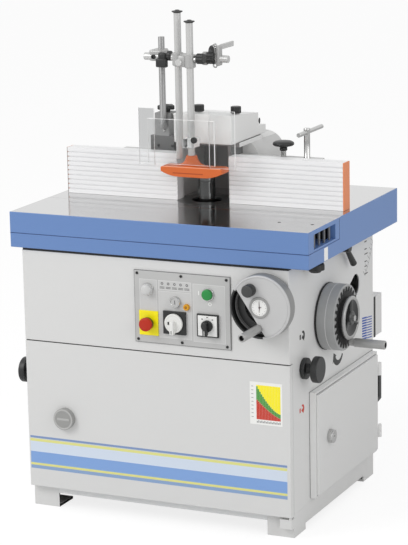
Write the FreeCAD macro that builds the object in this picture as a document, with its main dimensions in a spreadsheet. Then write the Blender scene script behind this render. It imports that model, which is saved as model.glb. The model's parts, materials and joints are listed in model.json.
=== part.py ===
import FreeCAD, Part
import math
import os
import re

# Spindle moulder with a tilting spindle, in millimetres.
# Frame: +Z up, X to the operator's right, Y to the back; the origin is the middle of the four floor
# anchor holes, at floor level.

doc = FreeCAD.newDocument("spindle_moulder")
sheet = doc.addObject("Spreadsheet::Sheet", "Dims")

SIZES = {
    # general fits
    "running_fit": 0.05, "slide_gap": 0.3, "clear_gap": 0.8,
    # sheet steel cabinet
    "cabinet_width": 844, "plinth_depth": 640, "sheet_wall": 4, "front_depth": 22, "door_gap": 2,
    "foot_height": 65, "skirt_gap": 19, "floor_plate": 6, "foot_width": 84, "foot_depth": 85, "foot_wall": 5,
    "foot_plate": 8, "anchor_hole": 14, "seam_drop": 385, "seam_gap": 3, "panel_gap": 8,
    "bulge_depth": 88, "bulge_low": 434, "bulge_high": 560, "bulge_width": 590,
    # cast table with its pull-out front
    "table_length": 940, "table_depth": 715, "table_height": 900, "table_edge": 105, "table_shift": 16,
    "table_overhang": 10, "table_plate": 30, "table_wall": 26, "rim_overlap": 14,
    "pull_out_edge": 62, "pull_out_depth": 235, "pull_plate": 22, "pull_wall": 22, "ledge_plate": 15,
    "rod_radius": 12.5, "rod_inset": 46, "rod_end_gap": 84, "guide_offset": 95, "guide_thick": 25,
    "stop_hole": 10.2, "stop_spacing": 100, "stop_inset": 84, "stop_setback": 114,
    "clamp_inset": 32, "clamp_setback": 128, "clamp_radius": 28, "clamp_drop": 34,
    # table opening
    "spindle_y": 8, "table_hole": 150, "ring_outer": 180, "ring_inner": 92, "ring_thick": 8,
    # spindle and quill, measured along the spindle from the tilt axis at table top level
    "arbor_radius": 15, "collar_radius": 25, "nose_height": 85, "collar_sink": 8, "nut_height": 16,
    "collar_count": 5, "neck_depth": 120, "shaft_radius": 20, "quill_radius": 50, "quill_top": 160,
    "quill_length": 110, "bearing_radius": 40, "bearing_width": 18, "spline_radius": 10, "spline_end": 383,
    "quill_bore": 30,
    # tilting carriage
    "member_half": 139.7, "member_front": 98, "member_back": 72, "member_top": 170, "member_bottom": 330,
    "cheek_thick": 29.7, "cheek_front": 70, "cheek_back": 30, "shoe_half": 60, "base_thick": 16,
    "track_inner": 110, "track_outer": 150,
    "track_thick": 20, "shoe_thick": 25, "sector_inner": 160, "sector_width": 37,
    "sector_lead": 165, "arm_front": 36, "arm_back": 26, "arm_top": 178, "arm_bottom": 250,
    # motor and belt
    "motor_radius": 85, "motor_offset": 190, "motor_top": 125, "motor_plate": 12, "motor_shaft_radius": 14,
    "pulley_depth": 335, "pulley_width": 24, "spindle_pulley_radius": 38, "motor_pulley_radius": 62,
    "belt_thick": 5, "belt_width": 18,
    # height drive on the right side
    "pinion_offset": 70, "pinion_drop": 305, "pinion_radius": 15.5, "rack_width": 20, "rack_length": 215,
    "height_shaft_radius": 12, "sleeve_radius": 25, "drum_radius": 97, "drum_gap": 2, "drum_width": 58,
    "drum_wall": 8, "clamp_ring_radius": 90, "clamp_ring_width": 8, "clamp_ring_sink": 0,
    "side_wheel_radius": 56,
    "side_rim_radius": 7.5, "side_grip_radius": 13, "side_grip_length": 96, "side_grip_offset": 72,
    "slot_half": 33, "tilt_range": 45, "drum_boss": 30,
    # tilt drive on the front
    "wheel_inset": 68, "wheel_drop": 212, "wheel_radius": 91, "wheel_width": 40, "wheel_standoff": 10,
    "wheel_face": 8, "wheel_rim": 8, "wheel_hub": 34, "dial_radius": 31, "dial_depth": 9, "recess_depth": 22,
    "recess_chord": 34, "recess_turn": 213, "grip_x": -4, "grip_drop": 60, "grip_radius": 12,
    "grip_length": 116, "grip_stud": 4, "tilt_knob_radius": 18, "tilt_knob_height": 26, "tilt_knob_x": -27,
    "tilt_knob_rise": 49, "tilt_shaft_radius": 10, "worm_radius": 20, "worm_length": 80,
    "bracket_thick": 22, "bracket_y": 62,
    # tilt lock lever
    "lever_y": 40, "lever_drop": 121, "lever_length": 92, "lever_radius": 10, "lever_hub": 15,
    "lever_hub_width": 34,
    "lever_pin": 6,
    # front door
    "door_axis_inset": 6, "door_pin": 4, "lock_inset": 126, "lock_z": 287, "lock_radius": 32,
    "lock_height": 16,
    "lock_shaft": 6, "latch_length": 112, "latch_thick": 5, "keeper_width": 22,
    # electrical compartment
    "box_front": -200, "box_length": 504, "box_low": 83, "box_drop": 500, "box_proud": 19, "box_inner": 108,
    "box_frame": 12, "box_door": 6, "hinge_radius": 6, "hinge_pin": 3, "hinge_height": 20,
    "box_lock_y": -107, "box_lock_rise": 6.5, "box_lock_radius": 20, "box_lock_reach": 15,
    # control panel
    "panel_left": -55, "panel_width": 299, "panel_drop": 355, "panel_height": 210, "panel_thick": 4,
    "lamp_across": 43, "lamp_rise": 157, "lamp_radius": 16, "stop_across": 14, "stop_width": 60,
    "stop_rise": 22,
    "stop_height": 72, "plate_thick": 3, "main_across": 92, "main_width": 70, "main_rise": 32,
    "main_height": 67,
    "speed_across": 198, "speed_width": 66, "speed_rise": 33, "speed_height": 66, "switch_plate": 7,
    "key_across": 130, "key_rise": 126, "key_radius": 17, "start_across": 231, "start_rise": 156,
    "start_radius": 16,
    "mushroom_radius": 20, "mushroom_height": 28, "stem_radius": 8, "main_knob_radius": 28,
    "main_knob_height": 22, "speed_knob_radius": 17, "speed_knob_height": 24, "button_height": 9,
    "block_depth": 40,
    # lifting bollards
    "bollard_radius": 38, "bollard_foot": 31, "bollard_neck": 15, "bollard_base": 14, "bollard_groove": 20,
    "bollard_cap": 20, "bollard_y": -242, "bollard_z": 483, "bollard_left_y": -262, "bollard_left_z": 400,
    "handle_width": 30, "handle_inset": 3, "handle_reach": 84, "handle_half": 58, "handle_chamfer": 14,
    "handle_z": 266,
    # fence
    "fence_face": -30, "fence_height": 140, "fence_thick": 43.7, "fence_left_end": -431,
    "fence_left_gap": -63, "fence_right_gap": 106, "fence_right_end": 467, "cap_thick": 4,
    "carrier_left": -300, "carrier_right": 350, "carrier_depth": 98, "carrier_height": 126,
    "carrier_wall": 18, "housing_left": -84, "housing_right": 112, "wall_right": 85, "housing_front": 34, "housing_back": 200,
    "housing_wall": 10, "housing_height": 170, "housing_lid": 13,
    "spigot_x": 75, "spigot_rise": 105, "spigot_radius": 60, "spigot_wall": 4, "spigot_length": 120,
    "chute_length": 82, "chute_step": 4,
    "hood_left": -80, "hood_right": 108, "hood_front": -10, "hood_depth": 195, "hood_front_height": 87,
    "hood_back_height": 69, "hood_step": 58, "hood_step_height": 26, "hood_wall": 5, "hood_knob_left": -27,
    "hood_knob_right": 93, "hood_knob_y": 55, "hood_knob_radius": 14, "hood_knob_height": 22,
    "hood_stud": 4, "fence_knob_x": 230, "fence_knob_y": 88, "fence_knob_radius": 32, "fence_knob_height": 29,
    "fence_knob_rise": 20, "fence_stud": 8, "tee_x": 305, "tee_radius": 10.5, "tee_height": 90,
    "tee_bar_radius": 5, "tee_bar_front": 65, "tee_bar_back": 116, "tee_bar_drop": 12,
    # guard post, arm and pressure shoe
    "holder_x": -145, "holder_width": 76, "holder_height": 52, "holder_y": 45, "holder_depth": 55,
    "holder_top_width": 48, "holder_top_height": 68, "post_x": -137, "post_y": 36, "post_radius": 9.5,
    "post_boss": 13, "post_boss_height": 40, "post_foot": 12, "post_height": 270, "post_knob_y": 76,
    "post_knob_radius": 27,
    "post_knob_height": 22, "post_stud": 5, "arm_rise": 420, "arm_y": 12, "arm_left": -181, "arm_right": 92,
    "arm_radius": 11, "clamp_half": 22, "clamp_height": 50, "reach_x": -17, "reach_front": -104,
    "reach_radius": 10, "bar_radius": 10.5, "bar_clamp": 19, "shoe_bar_x": 10, "shoe_bar_y": -80,
    "shoe_bar_rise": 534, "rear_bar_x": -44, "rear_bar_y": -46, "rear_bar_clear": 129, "rear_bar_rise": 558,
    "bar_cap_radius": 16, "bar_cap": 9, "eye_x": 51, "eye_radius": 13, "eye_half": 42, "stay_radius": 6,
    "stay_length": 100, "shoe_clear": 86, "shoe_thick_z": 12, "shoe_rise": 18, "shoe_left": -78,
    "shoe_right": 119,
    "shoe_front_y": -112, "shoe_back_y": -60, "shoe_curl": 60, "shoe_hub": 22, "shoe_hub_height": 49,
    "guard_y": -108, "guard_thick": 5, "guard_left": -118, "guard_right": 95, "guard_clear": 122,
    "guard_rise": 254, "wing_left": -150, "wing_right": 158, "wing_lap": 18, "wing_clear": 116,
    "wing_rise": 284, "guard_clip_rise": 185, "guard_clip": 26,
}

# Places that follow from the sizes.
PLACES = {
    "box_lock_z": "(box_low + box_high) / 2 + box_lock_rise",
    "seam_height": "table_height - seam_drop", "panel_low": "table_height - panel_drop",
    "box_high": "table_height - box_drop", "lock_x": "lock_inset - cabinet_width / 2",
    "wheel_x": "cabinet_width / 2 - wheel_inset", "wheel_z": "table_height - wheel_drop",
    "lever_z": "table_height - lever_drop", "handle_x": "cabinet_width / 2 - handle_inset",
    "table_right": "table_shift + table_length / 2", "stop_x": "table_right - stop_inset",
    "clamp_x": "table_right - clamp_inset",
    "rod_reach": "table_depth - pull_out_depth - table_wall - rod_end_gap",
    "lamp_x": "panel_left + lamp_across", "lamp_z": "panel_low + lamp_rise",
    "stop_x0": "panel_left + stop_across", "stop_z0": "panel_low + stop_rise",
    "main_x0": "panel_left + main_across", "main_z0": "panel_low + main_rise",
    "speed_x0": "panel_left + speed_across", "speed_z0": "panel_low + speed_rise",
    "key_x": "panel_left + key_across", "key_z": "panel_low + key_rise",
    "start_x": "panel_left + start_across", "start_z": "panel_low + start_rise",
    "spigot_z": "table_height + spigot_rise", "arm_z": "table_height + arm_rise",
    "shoe_bar_top": "table_height + shoe_bar_rise", "rear_bar_low": "table_height + rear_bar_clear",
    "rear_bar_top": "table_height + rear_bar_rise", "shoe_low": "table_height + shoe_clear",
    "guard_low": "table_height + guard_clear", "guard_high": "table_height + guard_rise",
    "wing_low": "table_height + wing_clear", "wing_high": "table_height + wing_rise",
    "guard_clip_z": "table_height + guard_clip_rise",
}
for row, (name, value) in enumerate(SIZES.items(), 1):
    sheet.set(f"A{row}", name)
    sheet.set(f"B{row}", str(value))
    sheet.setAlias(f"B{row}", name)
doc.recompute()

# Sub-parts by name, in the order they are built.
NODES = {}


def formula(text):
    """A formula of size and place names, rewritten to read the sheet."""
    def spell(word):
        name = word[0]
        if name in PLACES:
            return f"({formula(PLACES[name])})"
        return f"Dims.{name}" if name in SIZES else name
    return re.sub(r"[a-z]\w*", spell, str(text))


def number(text):
    """The present value of a formula of size names."""
    return float(sheet.evalExpression(formula(text)))


def bind(item, **properties):
    """Ties properties of an object to formulas of size names."""
    for name, text in properties.items():
        item.setExpression(name.replace("__", "."), formula(text))


def put(item, x, y, z):
    """Places an object by three formulas."""
    bind(item, Placement__Base__x=x, Placement__Base__y=y, Placement__Base__z=z)
    return item


def box(x, y, z):
    """A box from its low and high limits along X, Y and Z."""
    item = doc.addObject("Part::Box", "Box")
    bind(item, Length=f"({x[1]}) - ({x[0]})", Width=f"({y[1]}) - ({y[0]})", Height=f"({z[1]}) - ({z[0]})")
    return put(item, x[0], y[0], z[0])


TURNS = {"x": FreeCAD.Rotation(FreeCAD.Vector(0, 1, 0), 90),
         "y": FreeCAD.Rotation(FreeCAD.Vector(1, 0, 0), -90),
         "z": FreeCAD.Rotation()}


def along(axis, item, start, across):
    """Turns an upright object along an axis and puts its foot at start, centred on the other two places."""
    item.Placement = FreeCAD.Placement(FreeCAD.Vector(), TURNS[axis])
    places = {"x": (start, *across), "y": (across[0], start, across[1]), "z": (*across, start)}
    return put(item, *places[axis])


def rod(axis, radius, span, across):
    """A cylinder along an axis between two limits, centred on the other two places."""
    item = doc.addObject("Part::Cylinder", "Rod")
    bind(item, Radius=radius, Height=f"({span[1]}) - ({span[0]})")
    return along(axis, item, span[0], across)


def cone(axis, radii, span, across):
    """A cone frustum along an axis between two limits."""
    item = doc.addObject("Part::Cone", "Cone")
    bind(item, Radius1=radii[0], Radius2=radii[1], Height=f"({span[1]}) - ({span[0]})")
    return along(axis, item, span[0], across)


def hexagon(axis, radius, span, across):
    """A hexagonal bar along an axis."""
    item = doc.addObject("Part::Prism", "Hexagon")
    item.Polygon = 6
    bind(item, Circumradius=radius, Height=f"({span[1]}) - ({span[0]})")
    return along(axis, item, span[0], across)


def fuse(*items):
    """One solid from several that meet."""
    item = doc.addObject("Part::MultiFuse", "Fuse")
    item.Shapes = list(items)
    item.Refine = True
    return item


def cut(base, *tools):
    """A solid with others taken away."""
    item = doc.addObject("Part::Cut", "Cut")
    item.Base = base
    item.Tool = tools[0] if len(tools) == 1 else fuse(*tools)
    item.Refine = True
    return item


def common(first, second):
    """The volume that two solids share."""
    item = doc.addObject("Part::Common", "Common")
    item.Base = first
    item.Tool = second
    return item


def group(*items):
    """Separate solids kept together in one sub-part."""
    item = doc.addObject("Part::Compound", "Group")
    item.Links = list(items)
    return item


def node(name, item):
    """Names a finished sub-part."""
    item.Label = name
    NODES[name] = item
    return item


def tube(axis, outer, inner, span, across):
    """A round tube along an axis."""
    return cut(rod(axis, outer, span, across), rod(axis, inner, span, across))


def arc_band(inner, outer, x, y_limits, z_limits):
    """A curved band about the tilt axis, cut to a window in Y and Z."""
    ring = tube("x", outer, inner, x, (tilt_y, tilt_z))
    return common(ring, box(x, y_limits, z_limits))


# Places that many pieces share.
left_x = "(-cabinet_width / 2)"
right_x = "(cabinet_width / 2)"
front_y = "(-plinth_depth / 2)"
back_y = "(plinth_depth / 2)"
face_y = f"({front_y} - front_depth)"
floor_top = "(foot_height + floor_plate)"
table_x = ("(table_shift - table_length / 2)", "(table_shift + table_length / 2)")
table_y = (f"({face_y} - table_overhang)", f"({face_y} - table_overhang + table_depth)")
joint_y = f"({table_y[0]} + pull_out_depth)"
under = "(table_height - table_edge)"
ledge_top = "(table_height - pull_out_edge)"
spindle = ("table_shift", "spindle_y")
tilt_y = "spindle_y"
tilt_z = "table_height"


def deep(text):
    """A height given as a distance below the tilt axis."""
    return f"(table_height - ({text}))"


def off(text):
    """A place along X given as a distance from the spindle."""
    return f"(table_shift + ({text}))"


def fore(text):
    """A place along Y given as a distance in front of the spindle."""
    return f"(spindle_y - ({text}))"


# Cabinet: two sides, the back with its bulge, and the floor on four feet.
keeper = box((left_x, f"{left_x} + sheet_wall + keeper_width"), (front_y, f"{front_y} + sheet_wall"),
             ("lock_z - 40", "lock_z + 40"))
node("cabinet_left_side", fuse(
    box((left_x, f"{left_x} + sheet_wall"), (front_y, back_y), (floor_top, under)), keeper))

pinion = (fore("pinion_offset"), deep("pinion_drop"))
slot_inner = "(sqrt(pinion_offset^2 + pinion_drop^2) - slot_half)"
slot_outer = "(sqrt(pinion_offset^2 + pinion_drop^2) + slot_half)"
right_wall = (f"{right_x} - sheet_wall", right_x)
right_sheet = box(right_wall, (front_y, back_y), (floor_top, under))
start_y = -number("pinion_offset")
start_z = -number("pinion_drop")
slot_radius = math.hypot(start_y, start_z)
sweep = math.radians(number("tilt_range"))
end_y = start_y * math.cos(sweep) - start_z * math.sin(sweep)
end_z = start_y * math.sin(sweep) + start_z * math.cos(sweep)


def slot_sector(radius):
    """A sector of a disc about the tilt axis, from the upright drum to the fully tilted one."""
    sector = doc.addObject("Part::Cylinder", "SlotSector")
    bind(sector, Radius=radius, Height="sheet_wall", Angle="tilt_range")
    first = FreeCAD.Vector(0, start_y, start_z) / slot_radius
    sector.Placement = FreeCAD.Placement(FreeCAD.Vector(), FreeCAD.Rotation(
        first, FreeCAD.Vector(0, -first.z, first.y), FreeCAD.Vector(1, 0, 0), "ZXY"))
    return put(sector, right_wall[0], tilt_y, tilt_z)


slot_ends = [rod("x", "slot_half", right_wall, (f"{tilt_y} + {y}", f"{tilt_z} + {z}"))
             for y, z in ((start_y, start_z), (end_y, end_z))]
tilt_slot = fuse(cut(slot_sector(slot_outer), slot_sector(slot_inner)), *slot_ends)
box_y = ("box_front", "box_front + box_length")
box_z = ("box_low", "box_high")
box_window = box(right_wall, box_y, box_z)
shaft_place = ("wheel_x", "wheel_z")
bracket = box(("wheel_x - bracket_thick", f"{right_x} - sheet_wall"),
              ("bracket_y", "bracket_y + bracket_thick"),
              ("wheel_z - bracket_thick", "wheel_z + bracket_thick"))
bracket_bore = rod("y", "tilt_shaft_radius + running_fit", ("bracket_y", "bracket_y + bracket_thick"),
                   shaft_place)
lever_hole = rod("x", "lever_pin + running_fit", right_wall, ("lever_y", "lever_z"))
node("cabinet_right_side", cut(fuse(right_sheet, bracket), tilt_slot, box_window, bracket_bore, lever_hole))

rear_x = (f"{left_x} + sheet_wall", f"{right_x} - sheet_wall")
rear_sheet = box(rear_x, (f"{back_y} - sheet_wall", back_y), (floor_top, f"{under} - panel_gap"))
bulge_x = (f"{rear_x[1]} - bulge_width", rear_x[1])
bulge = box(bulge_x, (back_y, f"{back_y} + bulge_depth"), ("bulge_low", "bulge_high"))
bulge_hollow = box((f"{bulge_x[0]} + sheet_wall", f"{bulge_x[1]} - sheet_wall"),
                   (f"{back_y} - sheet_wall", f"{back_y} + bulge_depth - sheet_wall"),
                   ("bulge_low + sheet_wall", "bulge_high - sheet_wall"))
node("cabinet_rear", cut(fuse(rear_sheet, bulge), bulge_hollow))


def foot(side_x, side_y):
    """A corner foot: two outer walls on a floor plate with an anchor hole."""
    edge_x = f"({side_x} * cabinet_width / 2)"
    edge_y = f"({side_y} * plinth_depth / 2)"
    inner_x = f"({edge_x} - {side_x} * foot_width)"
    inner_y = f"({edge_y} - {side_y} * foot_depth)"
    wall_x = f"({edge_x} - {side_x} * foot_wall)"
    wall_y = f"({edge_y} - {side_y} * foot_wall)"
    spans = {
        "x": (inner_x, edge_x) if side_x > 0 else (edge_x, inner_x),
        "y": (inner_y, edge_y) if side_y > 0 else (edge_y, inner_y),
        "wall_x": (wall_x, edge_x) if side_x > 0 else (edge_x, wall_x),
        "wall_y": (wall_y, edge_y) if side_y > 0 else (edge_y, wall_y),
    }
    centre = (f"({inner_x} + {edge_x}) / 2", f"({inner_y} + {edge_y}) / 2")
    plate = cut(box(spans["x"], spans["y"], ("0", "foot_plate")),
                rod("z", "anchor_hole / 2", ("0", "foot_plate"), centre))
    return [plate, box(spans["wall_x"], spans["y"], ("0", "foot_height")),
            box(spans["x"], spans["wall_y"], ("0", "foot_height"))]


door_axis = (f"({right_x} - door_axis_inset)", f"({face_y} + door_axis_inset + 1)")
floor_sheet = box((left_x, right_x), (front_y, back_y), ("foot_height", floor_top))
pivot_ear = box((f"{right_x} - 36", f"{right_x}"), (f"{face_y} + 1", f"{front_y} + foot_wall"),
                ("foot_height - 34", "foot_height - 6"))
pivot_bore = rod("z", "door_pin + running_fit", ("foot_height - 34", "foot_height - 6"), door_axis)
feet = [piece for side_x in (-1, 1) for side_y in (-1, 1) for piece in foot(side_x, side_y)]
skirt_y = ("(foot_depth - foot_wall - plinth_depth / 2)", "(plinth_depth / 2 - foot_depth + foot_wall)")
skirts = [box((left_x, f"({left_x} + foot_wall)"), skirt_y, ("skirt_gap", floor_top)),
          box((f"({right_x} - foot_wall)", right_x), skirt_y, ("skirt_gap", floor_top))]
node("cabinet_base", cut(fuse(floor_sheet, pivot_ear, *skirts, *feet), pivot_bore))

# Upper front panel: a pan with a window behind the control panel and a bearing for the tilt shaft.
pan_x = (f"{left_x} + sheet_wall", f"{right_x} - sheet_wall")
upper_z = ("(seam_height + seam_gap / 2)", f"({under} - panel_gap)")
upper_pan = cut(box((left_x, right_x), (face_y, front_y), upper_z),
                box(pan_x, (f"{face_y} + sheet_wall", front_y),
                    (f"{upper_z[0]} + sheet_wall", f"{upper_z[1]} - sheet_wall")))
panel_x = ("panel_left", "(panel_left + panel_width)")
panel_z = ("panel_low", "(panel_low + panel_height)")
window = box(("panel_left + 20", f"{panel_x[1]} - 20"), (face_y, f"{face_y} + sheet_wall"),
             ("panel_low + 20", f"{panel_z[1]} - 20"))
shaft_boss = rod("y", "tilt_shaft_radius + 12", (face_y, front_y), shaft_place)
shaft_bore = rod("y", "tilt_shaft_radius + running_fit", (face_y, front_y), shaft_place)
top_pin_hole = rod("z", "door_pin + running_fit", (upper_z[0], f"{upper_z[0]} + sheet_wall"), door_axis)
node("front_upper_panel", cut(fuse(upper_pan, shaft_boss), window, shaft_bore, top_pin_hole))

# Lower front door: a pan that turns on two pins at its right edge, with a twist lock.
door_z = ("(foot_height + 1)", "(seam_height - seam_gap / 2)")
door_back = f"({front_y} - door_gap)"
door_pan = cut(box((left_x, right_x), (face_y, door_back), door_z),
               box(pan_x, (f"{face_y} + sheet_wall", door_back),
                   (f"{door_z[0]} + sheet_wall", f"{door_z[1]} - sheet_wall")))
low_pin = rod("z", "door_pin", ("foot_height - 30", f"{door_z[0]} + sheet_wall"), door_axis)
high_pin = rod("z", "door_pin", (f"{door_z[1]} - sheet_wall", f"{upper_z[0]} + sheet_wall"), door_axis)
lock_bore = rod("y", "lock_shaft + running_fit", (face_y, f"{face_y} + sheet_wall"), ("lock_x", "lock_z"))
node("lower_door", cut(fuse(door_pan, low_pin, high_pin), lock_bore))
lock_knob = rod("y", "lock_radius", (f"{face_y} - lock_height", face_y), ("lock_x", "lock_z"))
latch_y = (f"({front_y} + sheet_wall + 1)", f"({front_y} + sheet_wall + 1 + latch_thick)")
lock_spindle = rod("y", "lock_shaft", (face_y, latch_y[1]), ("lock_x", "lock_z"))
latch = box(("lock_x - latch_length", "lock_x + 12"), latch_y, ("lock_z - 10", "lock_z + 10"))
node("door_lock", fuse(lock_knob, lock_spindle, latch))

# Cast table: a ribbed plate, a ledge under the pull-out front, and the round opening for the spindle.
hollow_x = (f"{left_x} + rim_overlap", f"{right_x} - rim_overlap")
plate_low = "(table_height - table_plate)"
rod_z = "((table_height - pull_out_edge) + rod_radius + 1.5)"
rod_places = [f"({hollow_x[0]} + rod_inset)", f"({hollow_x[1]} - rod_inset)"]
guide_y = (f"({joint_y} + guide_offset)", f"({joint_y} + guide_offset + guide_thick)")
table_block = box(table_x, (joint_y, table_y[1]), (under, "table_height"))
ledge = box(table_x, (table_y[0], joint_y), (under, ledge_top))
hollow = box(hollow_x, (f"{joint_y} + table_wall", f"{table_y[1]} - table_wall"), (under, plate_low))
ledge_hollow = box(hollow_x, (f"{table_y[0]} + table_wall", joint_y), (under, f"{ledge_top} - ledge_plate"))
guides = [box((f"{x} - 26", f"{x} + 26"), guide_y, (f"{under} + 12", plate_low)) for x in rod_places]
bores = [rod("y", "rod_radius + running_fit", (joint_y, guide_y[1]), (x, rod_z)) for x in rod_places]
opening = rod("z", "table_hole / 2", (plate_low, "table_height"), spindle)
rebate = rod("z", "ring_outer / 2 + slide_gap / 3", ("table_height - ring_thick", "table_height"), spindle)
casting = fuse(cut(fuse(table_block, ledge), hollow, ledge_hollow), *guides)
clamp_y = f"({table_y[0]} + clamp_setback)"
clamp_hole = rod("z", "6 + running_fit", (under, ledge_top), ("clamp_x", clamp_y))
node("main_table", cut(casting, opening, rebate, clamp_hole, *bores))
node("table_ring", tube("z", "ring_outer / 2", "ring_inner / 2",
                        ("table_height - ring_thick", "table_height"), spindle))

# Pull-out front: a hollow casting on two round bars, with stop holes and an open right end.
pull_y = (table_y[0], f"({joint_y} - slide_gap)")
pull_block = box(table_x, pull_y, (ledge_top, "table_height"))
pull_hollow = box((f"{table_x[0]} + pull_wall", f"{table_x[1]} - pull_wall"),
                  (f"{pull_y[0]} + pull_wall", f"{pull_y[1]} - pull_wall"),
                  (ledge_top, "table_height - pull_plate"))
end_window = box((f"{table_x[1]} - pull_wall", table_x[1]), (f"{pull_y[0]} + 40", f"{pull_y[1]} - 32"),
                 (f"{ledge_top} + 7", "table_height - 12"))
stop_holes = [rod("z", "stop_hole / 2", ("table_height - pull_plate", "table_height"),
                  (f"stop_x + {side} * stop_spacing / 2", f"{pull_y[0]} + stop_setback")) for side in (-1, 1)]
node("pull_out_table", cut(pull_block, pull_hollow, end_window, *stop_holes))
node("pull_out_rods", group(*[rod("y", "rod_radius", (pull_y[1], f"{joint_y} + rod_reach"), (x, rod_z))
                              for x in rod_places]))
clamp_place = ("clamp_x", clamp_y)
clamp_stem = rod("z", "6", (f"{under} - 8", ledge_top), clamp_place)
clamp_knob = cone("z", ("clamp_radius * 0.6", "clamp_radius"), (f"{under} - clamp_drop", f"{under} - 8"),
                  clamp_place)
node("pull_out_clamp", fuse(clamp_stem, clamp_knob))

# Control panel with its lamp, plates and the contact blocks behind.
plate_y = (f"({face_y} - panel_thick)", face_y)
panel_sheet = box(panel_x, plate_y, panel_z)


def on_panel(x, z, radius, y_span):
    """A round piece standing square to the control panel."""
    return rod("y", radius, y_span, (x, z))


stop_place = ("(stop_x0 + stop_width / 2)", "(stop_z0 + stop_height / 2)")
main_place = ("(main_x0 + main_width / 2)", "(main_z0 + main_height / 2)")
speed_place = ("(speed_x0 + speed_width / 2)", "(speed_z0 + speed_height / 2)")
key_place = ("key_x", "key_z")
start_place = ("start_x", "start_z")
lamp_place = ("lamp_x", "lamp_z")
panel_front = plate_y[0]
stem_span = (panel_front, face_y)
stems = {"stop": stop_place, "main": main_place, "speed": speed_place, "key": key_place, "start": start_place}
stem_holes = [on_panel(*place, "stem_radius + running_fit", stem_span) for place in stems.values()]
node("control_panel", cut(panel_sheet, *stem_holes))


def plate(x0, width, z0, height, thick, place):
    """A switch plate on the panel, with a bore for its stem."""
    front = f"({panel_front} - {thick})"
    sheet_piece = box((x0, f"{x0} + {width}"), (front, panel_front), (z0, f"{z0} + {height}"))
    return cut(sheet_piece, on_panel(*place, "stem_radius + running_fit", (front, panel_front)))


block_back = f"({face_y} + block_depth)"
blocks = [box((f"{x} - 14", f"{x} + 14"), (f"{face_y} + 9", block_back), (f"{z} - 20", f"{z} + 20"))
          for x, z in stems.values()]
rail = box(("panel_left + 24", f"{panel_x[1]} - 24"), (block_back, f"{block_back} + 3"),
           ("panel_low + 24", f"{panel_z[1]} - 24"))
rail_posts = [rod("y", "5", (face_y, block_back), (x, f"{panel_z[0]} + 34"))
              for x in ("panel_left + 30", f"{panel_x[1]} - 30")]
lamp = on_panel(*lamp_place, "lamp_radius", (f"{panel_front} - 12", panel_front))
node("control_fittings", group(
    lamp,
    plate("stop_x0", "stop_width", "stop_z0", "stop_height", "plate_thick", stop_place),
    plate("main_x0", "main_width", "main_z0", "main_height", "switch_plate", main_place),
    plate("speed_x0", "speed_width", "speed_z0", "speed_height", "switch_plate", speed_place),
    fuse(rail, *rail_posts, *blocks)))


def stem(place, front):
    """A switch stem through the panel up to the contact block."""
    return on_panel(*place, "stem_radius", (front, f"{face_y} + 2"))


stop_front = f"({panel_front} - plate_thick)"
switch_front = f"({panel_front} - switch_plate)"
node("estop_button", fuse(
    stem(stop_place, f"{stop_front} - 10"),
    on_panel(*stop_place, "mushroom_radius", (f"{stop_front} - mushroom_height", f"{stop_front} - 10"))))
node("key_switch", fuse(
    stem(key_place, f"{panel_front} - button_height"),
    on_panel(*key_place, "key_radius", (f"{panel_front} - button_height", f"{panel_front} - 0.3"))))
node("start_button", fuse(
    stem(start_place, f"{panel_front} - button_height"),
    on_panel(*start_place, "start_radius", (f"{panel_front} - button_height - 3", f"{panel_front} - 5"))))
node("main_switch_knob", fuse(
    stem(main_place, f"{switch_front} - 2"),
    on_panel(*main_place, "main_knob_radius", (f"{switch_front} - 8", f"{switch_front} - 0.3")),
    box((f"{main_place[0]} - 6", f"{main_place[0]} + 6"),
        (f"{switch_front} - main_knob_height", f"{switch_front} - 6"),
        (f"{main_place[1]} - 31", f"{main_place[1]} + 8"))))
node("speed_switch_knob", fuse(
    stem(speed_place, f"{switch_front} - 2"),
    on_panel(*speed_place, "speed_knob_radius", (f"{switch_front} - 10", f"{switch_front} - 0.3")),
    box((f"{speed_place[0]} - 6", f"{speed_place[0]} + 6"),
        (f"{switch_front} - speed_knob_height", f"{switch_front} - 8"),
        (f"{speed_place[1]} - 26", f"{speed_place[1]} + 13"))))

# Electrical compartment in the right side, with its door on lift-off hinges.
tub_x = (f"{right_x} - box_inner", f"({right_x} + box_proud)")
inner_y = ("box_front + sheet_wall", f"{box_y[1]} - sheet_wall")
inner_z = ("box_low + sheet_wall", "box_high - sheet_wall")
tub = cut(box(tub_x, box_y, box_z), box((f"{tub_x[0]} + sheet_wall", tub_x[1]), inner_y, inner_z))
frame_x = (f"{right_x}", tub_x[1])
frame_ring = cut(box(frame_x, box_y, box_z),
                 box(frame_x, ("box_front + box_frame", f"{box_y[1]} - box_frame"),
                     ("box_low + box_frame", "box_high - box_frame")))
hinge_axis = (f"({tub_x[1]} + hinge_radius + 2)", f"({box_y[1]} + 1)")
hinge_levels = ["(box_low + 45)", "(box_high - 75)"]
lugs = [fuse(rod("z", "hinge_radius", (level, f"{level} + hinge_height"), hinge_axis),
             box((f"{tub_x[1]} - 4", hinge_axis[0]), (f"{box_y[1]} - hinge_radius - 1", f"{box_y[1]} + 1"),
                 (level, f"{level} + hinge_height"))) for level in hinge_levels]
lug_bores = [rod("z", "hinge_pin + running_fit", (level, f"{level} + hinge_height"), hinge_axis)
             for level in hinge_levels]
node("electrical_box", cut(fuse(tub, frame_ring, *lugs), *lug_bores))

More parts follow.
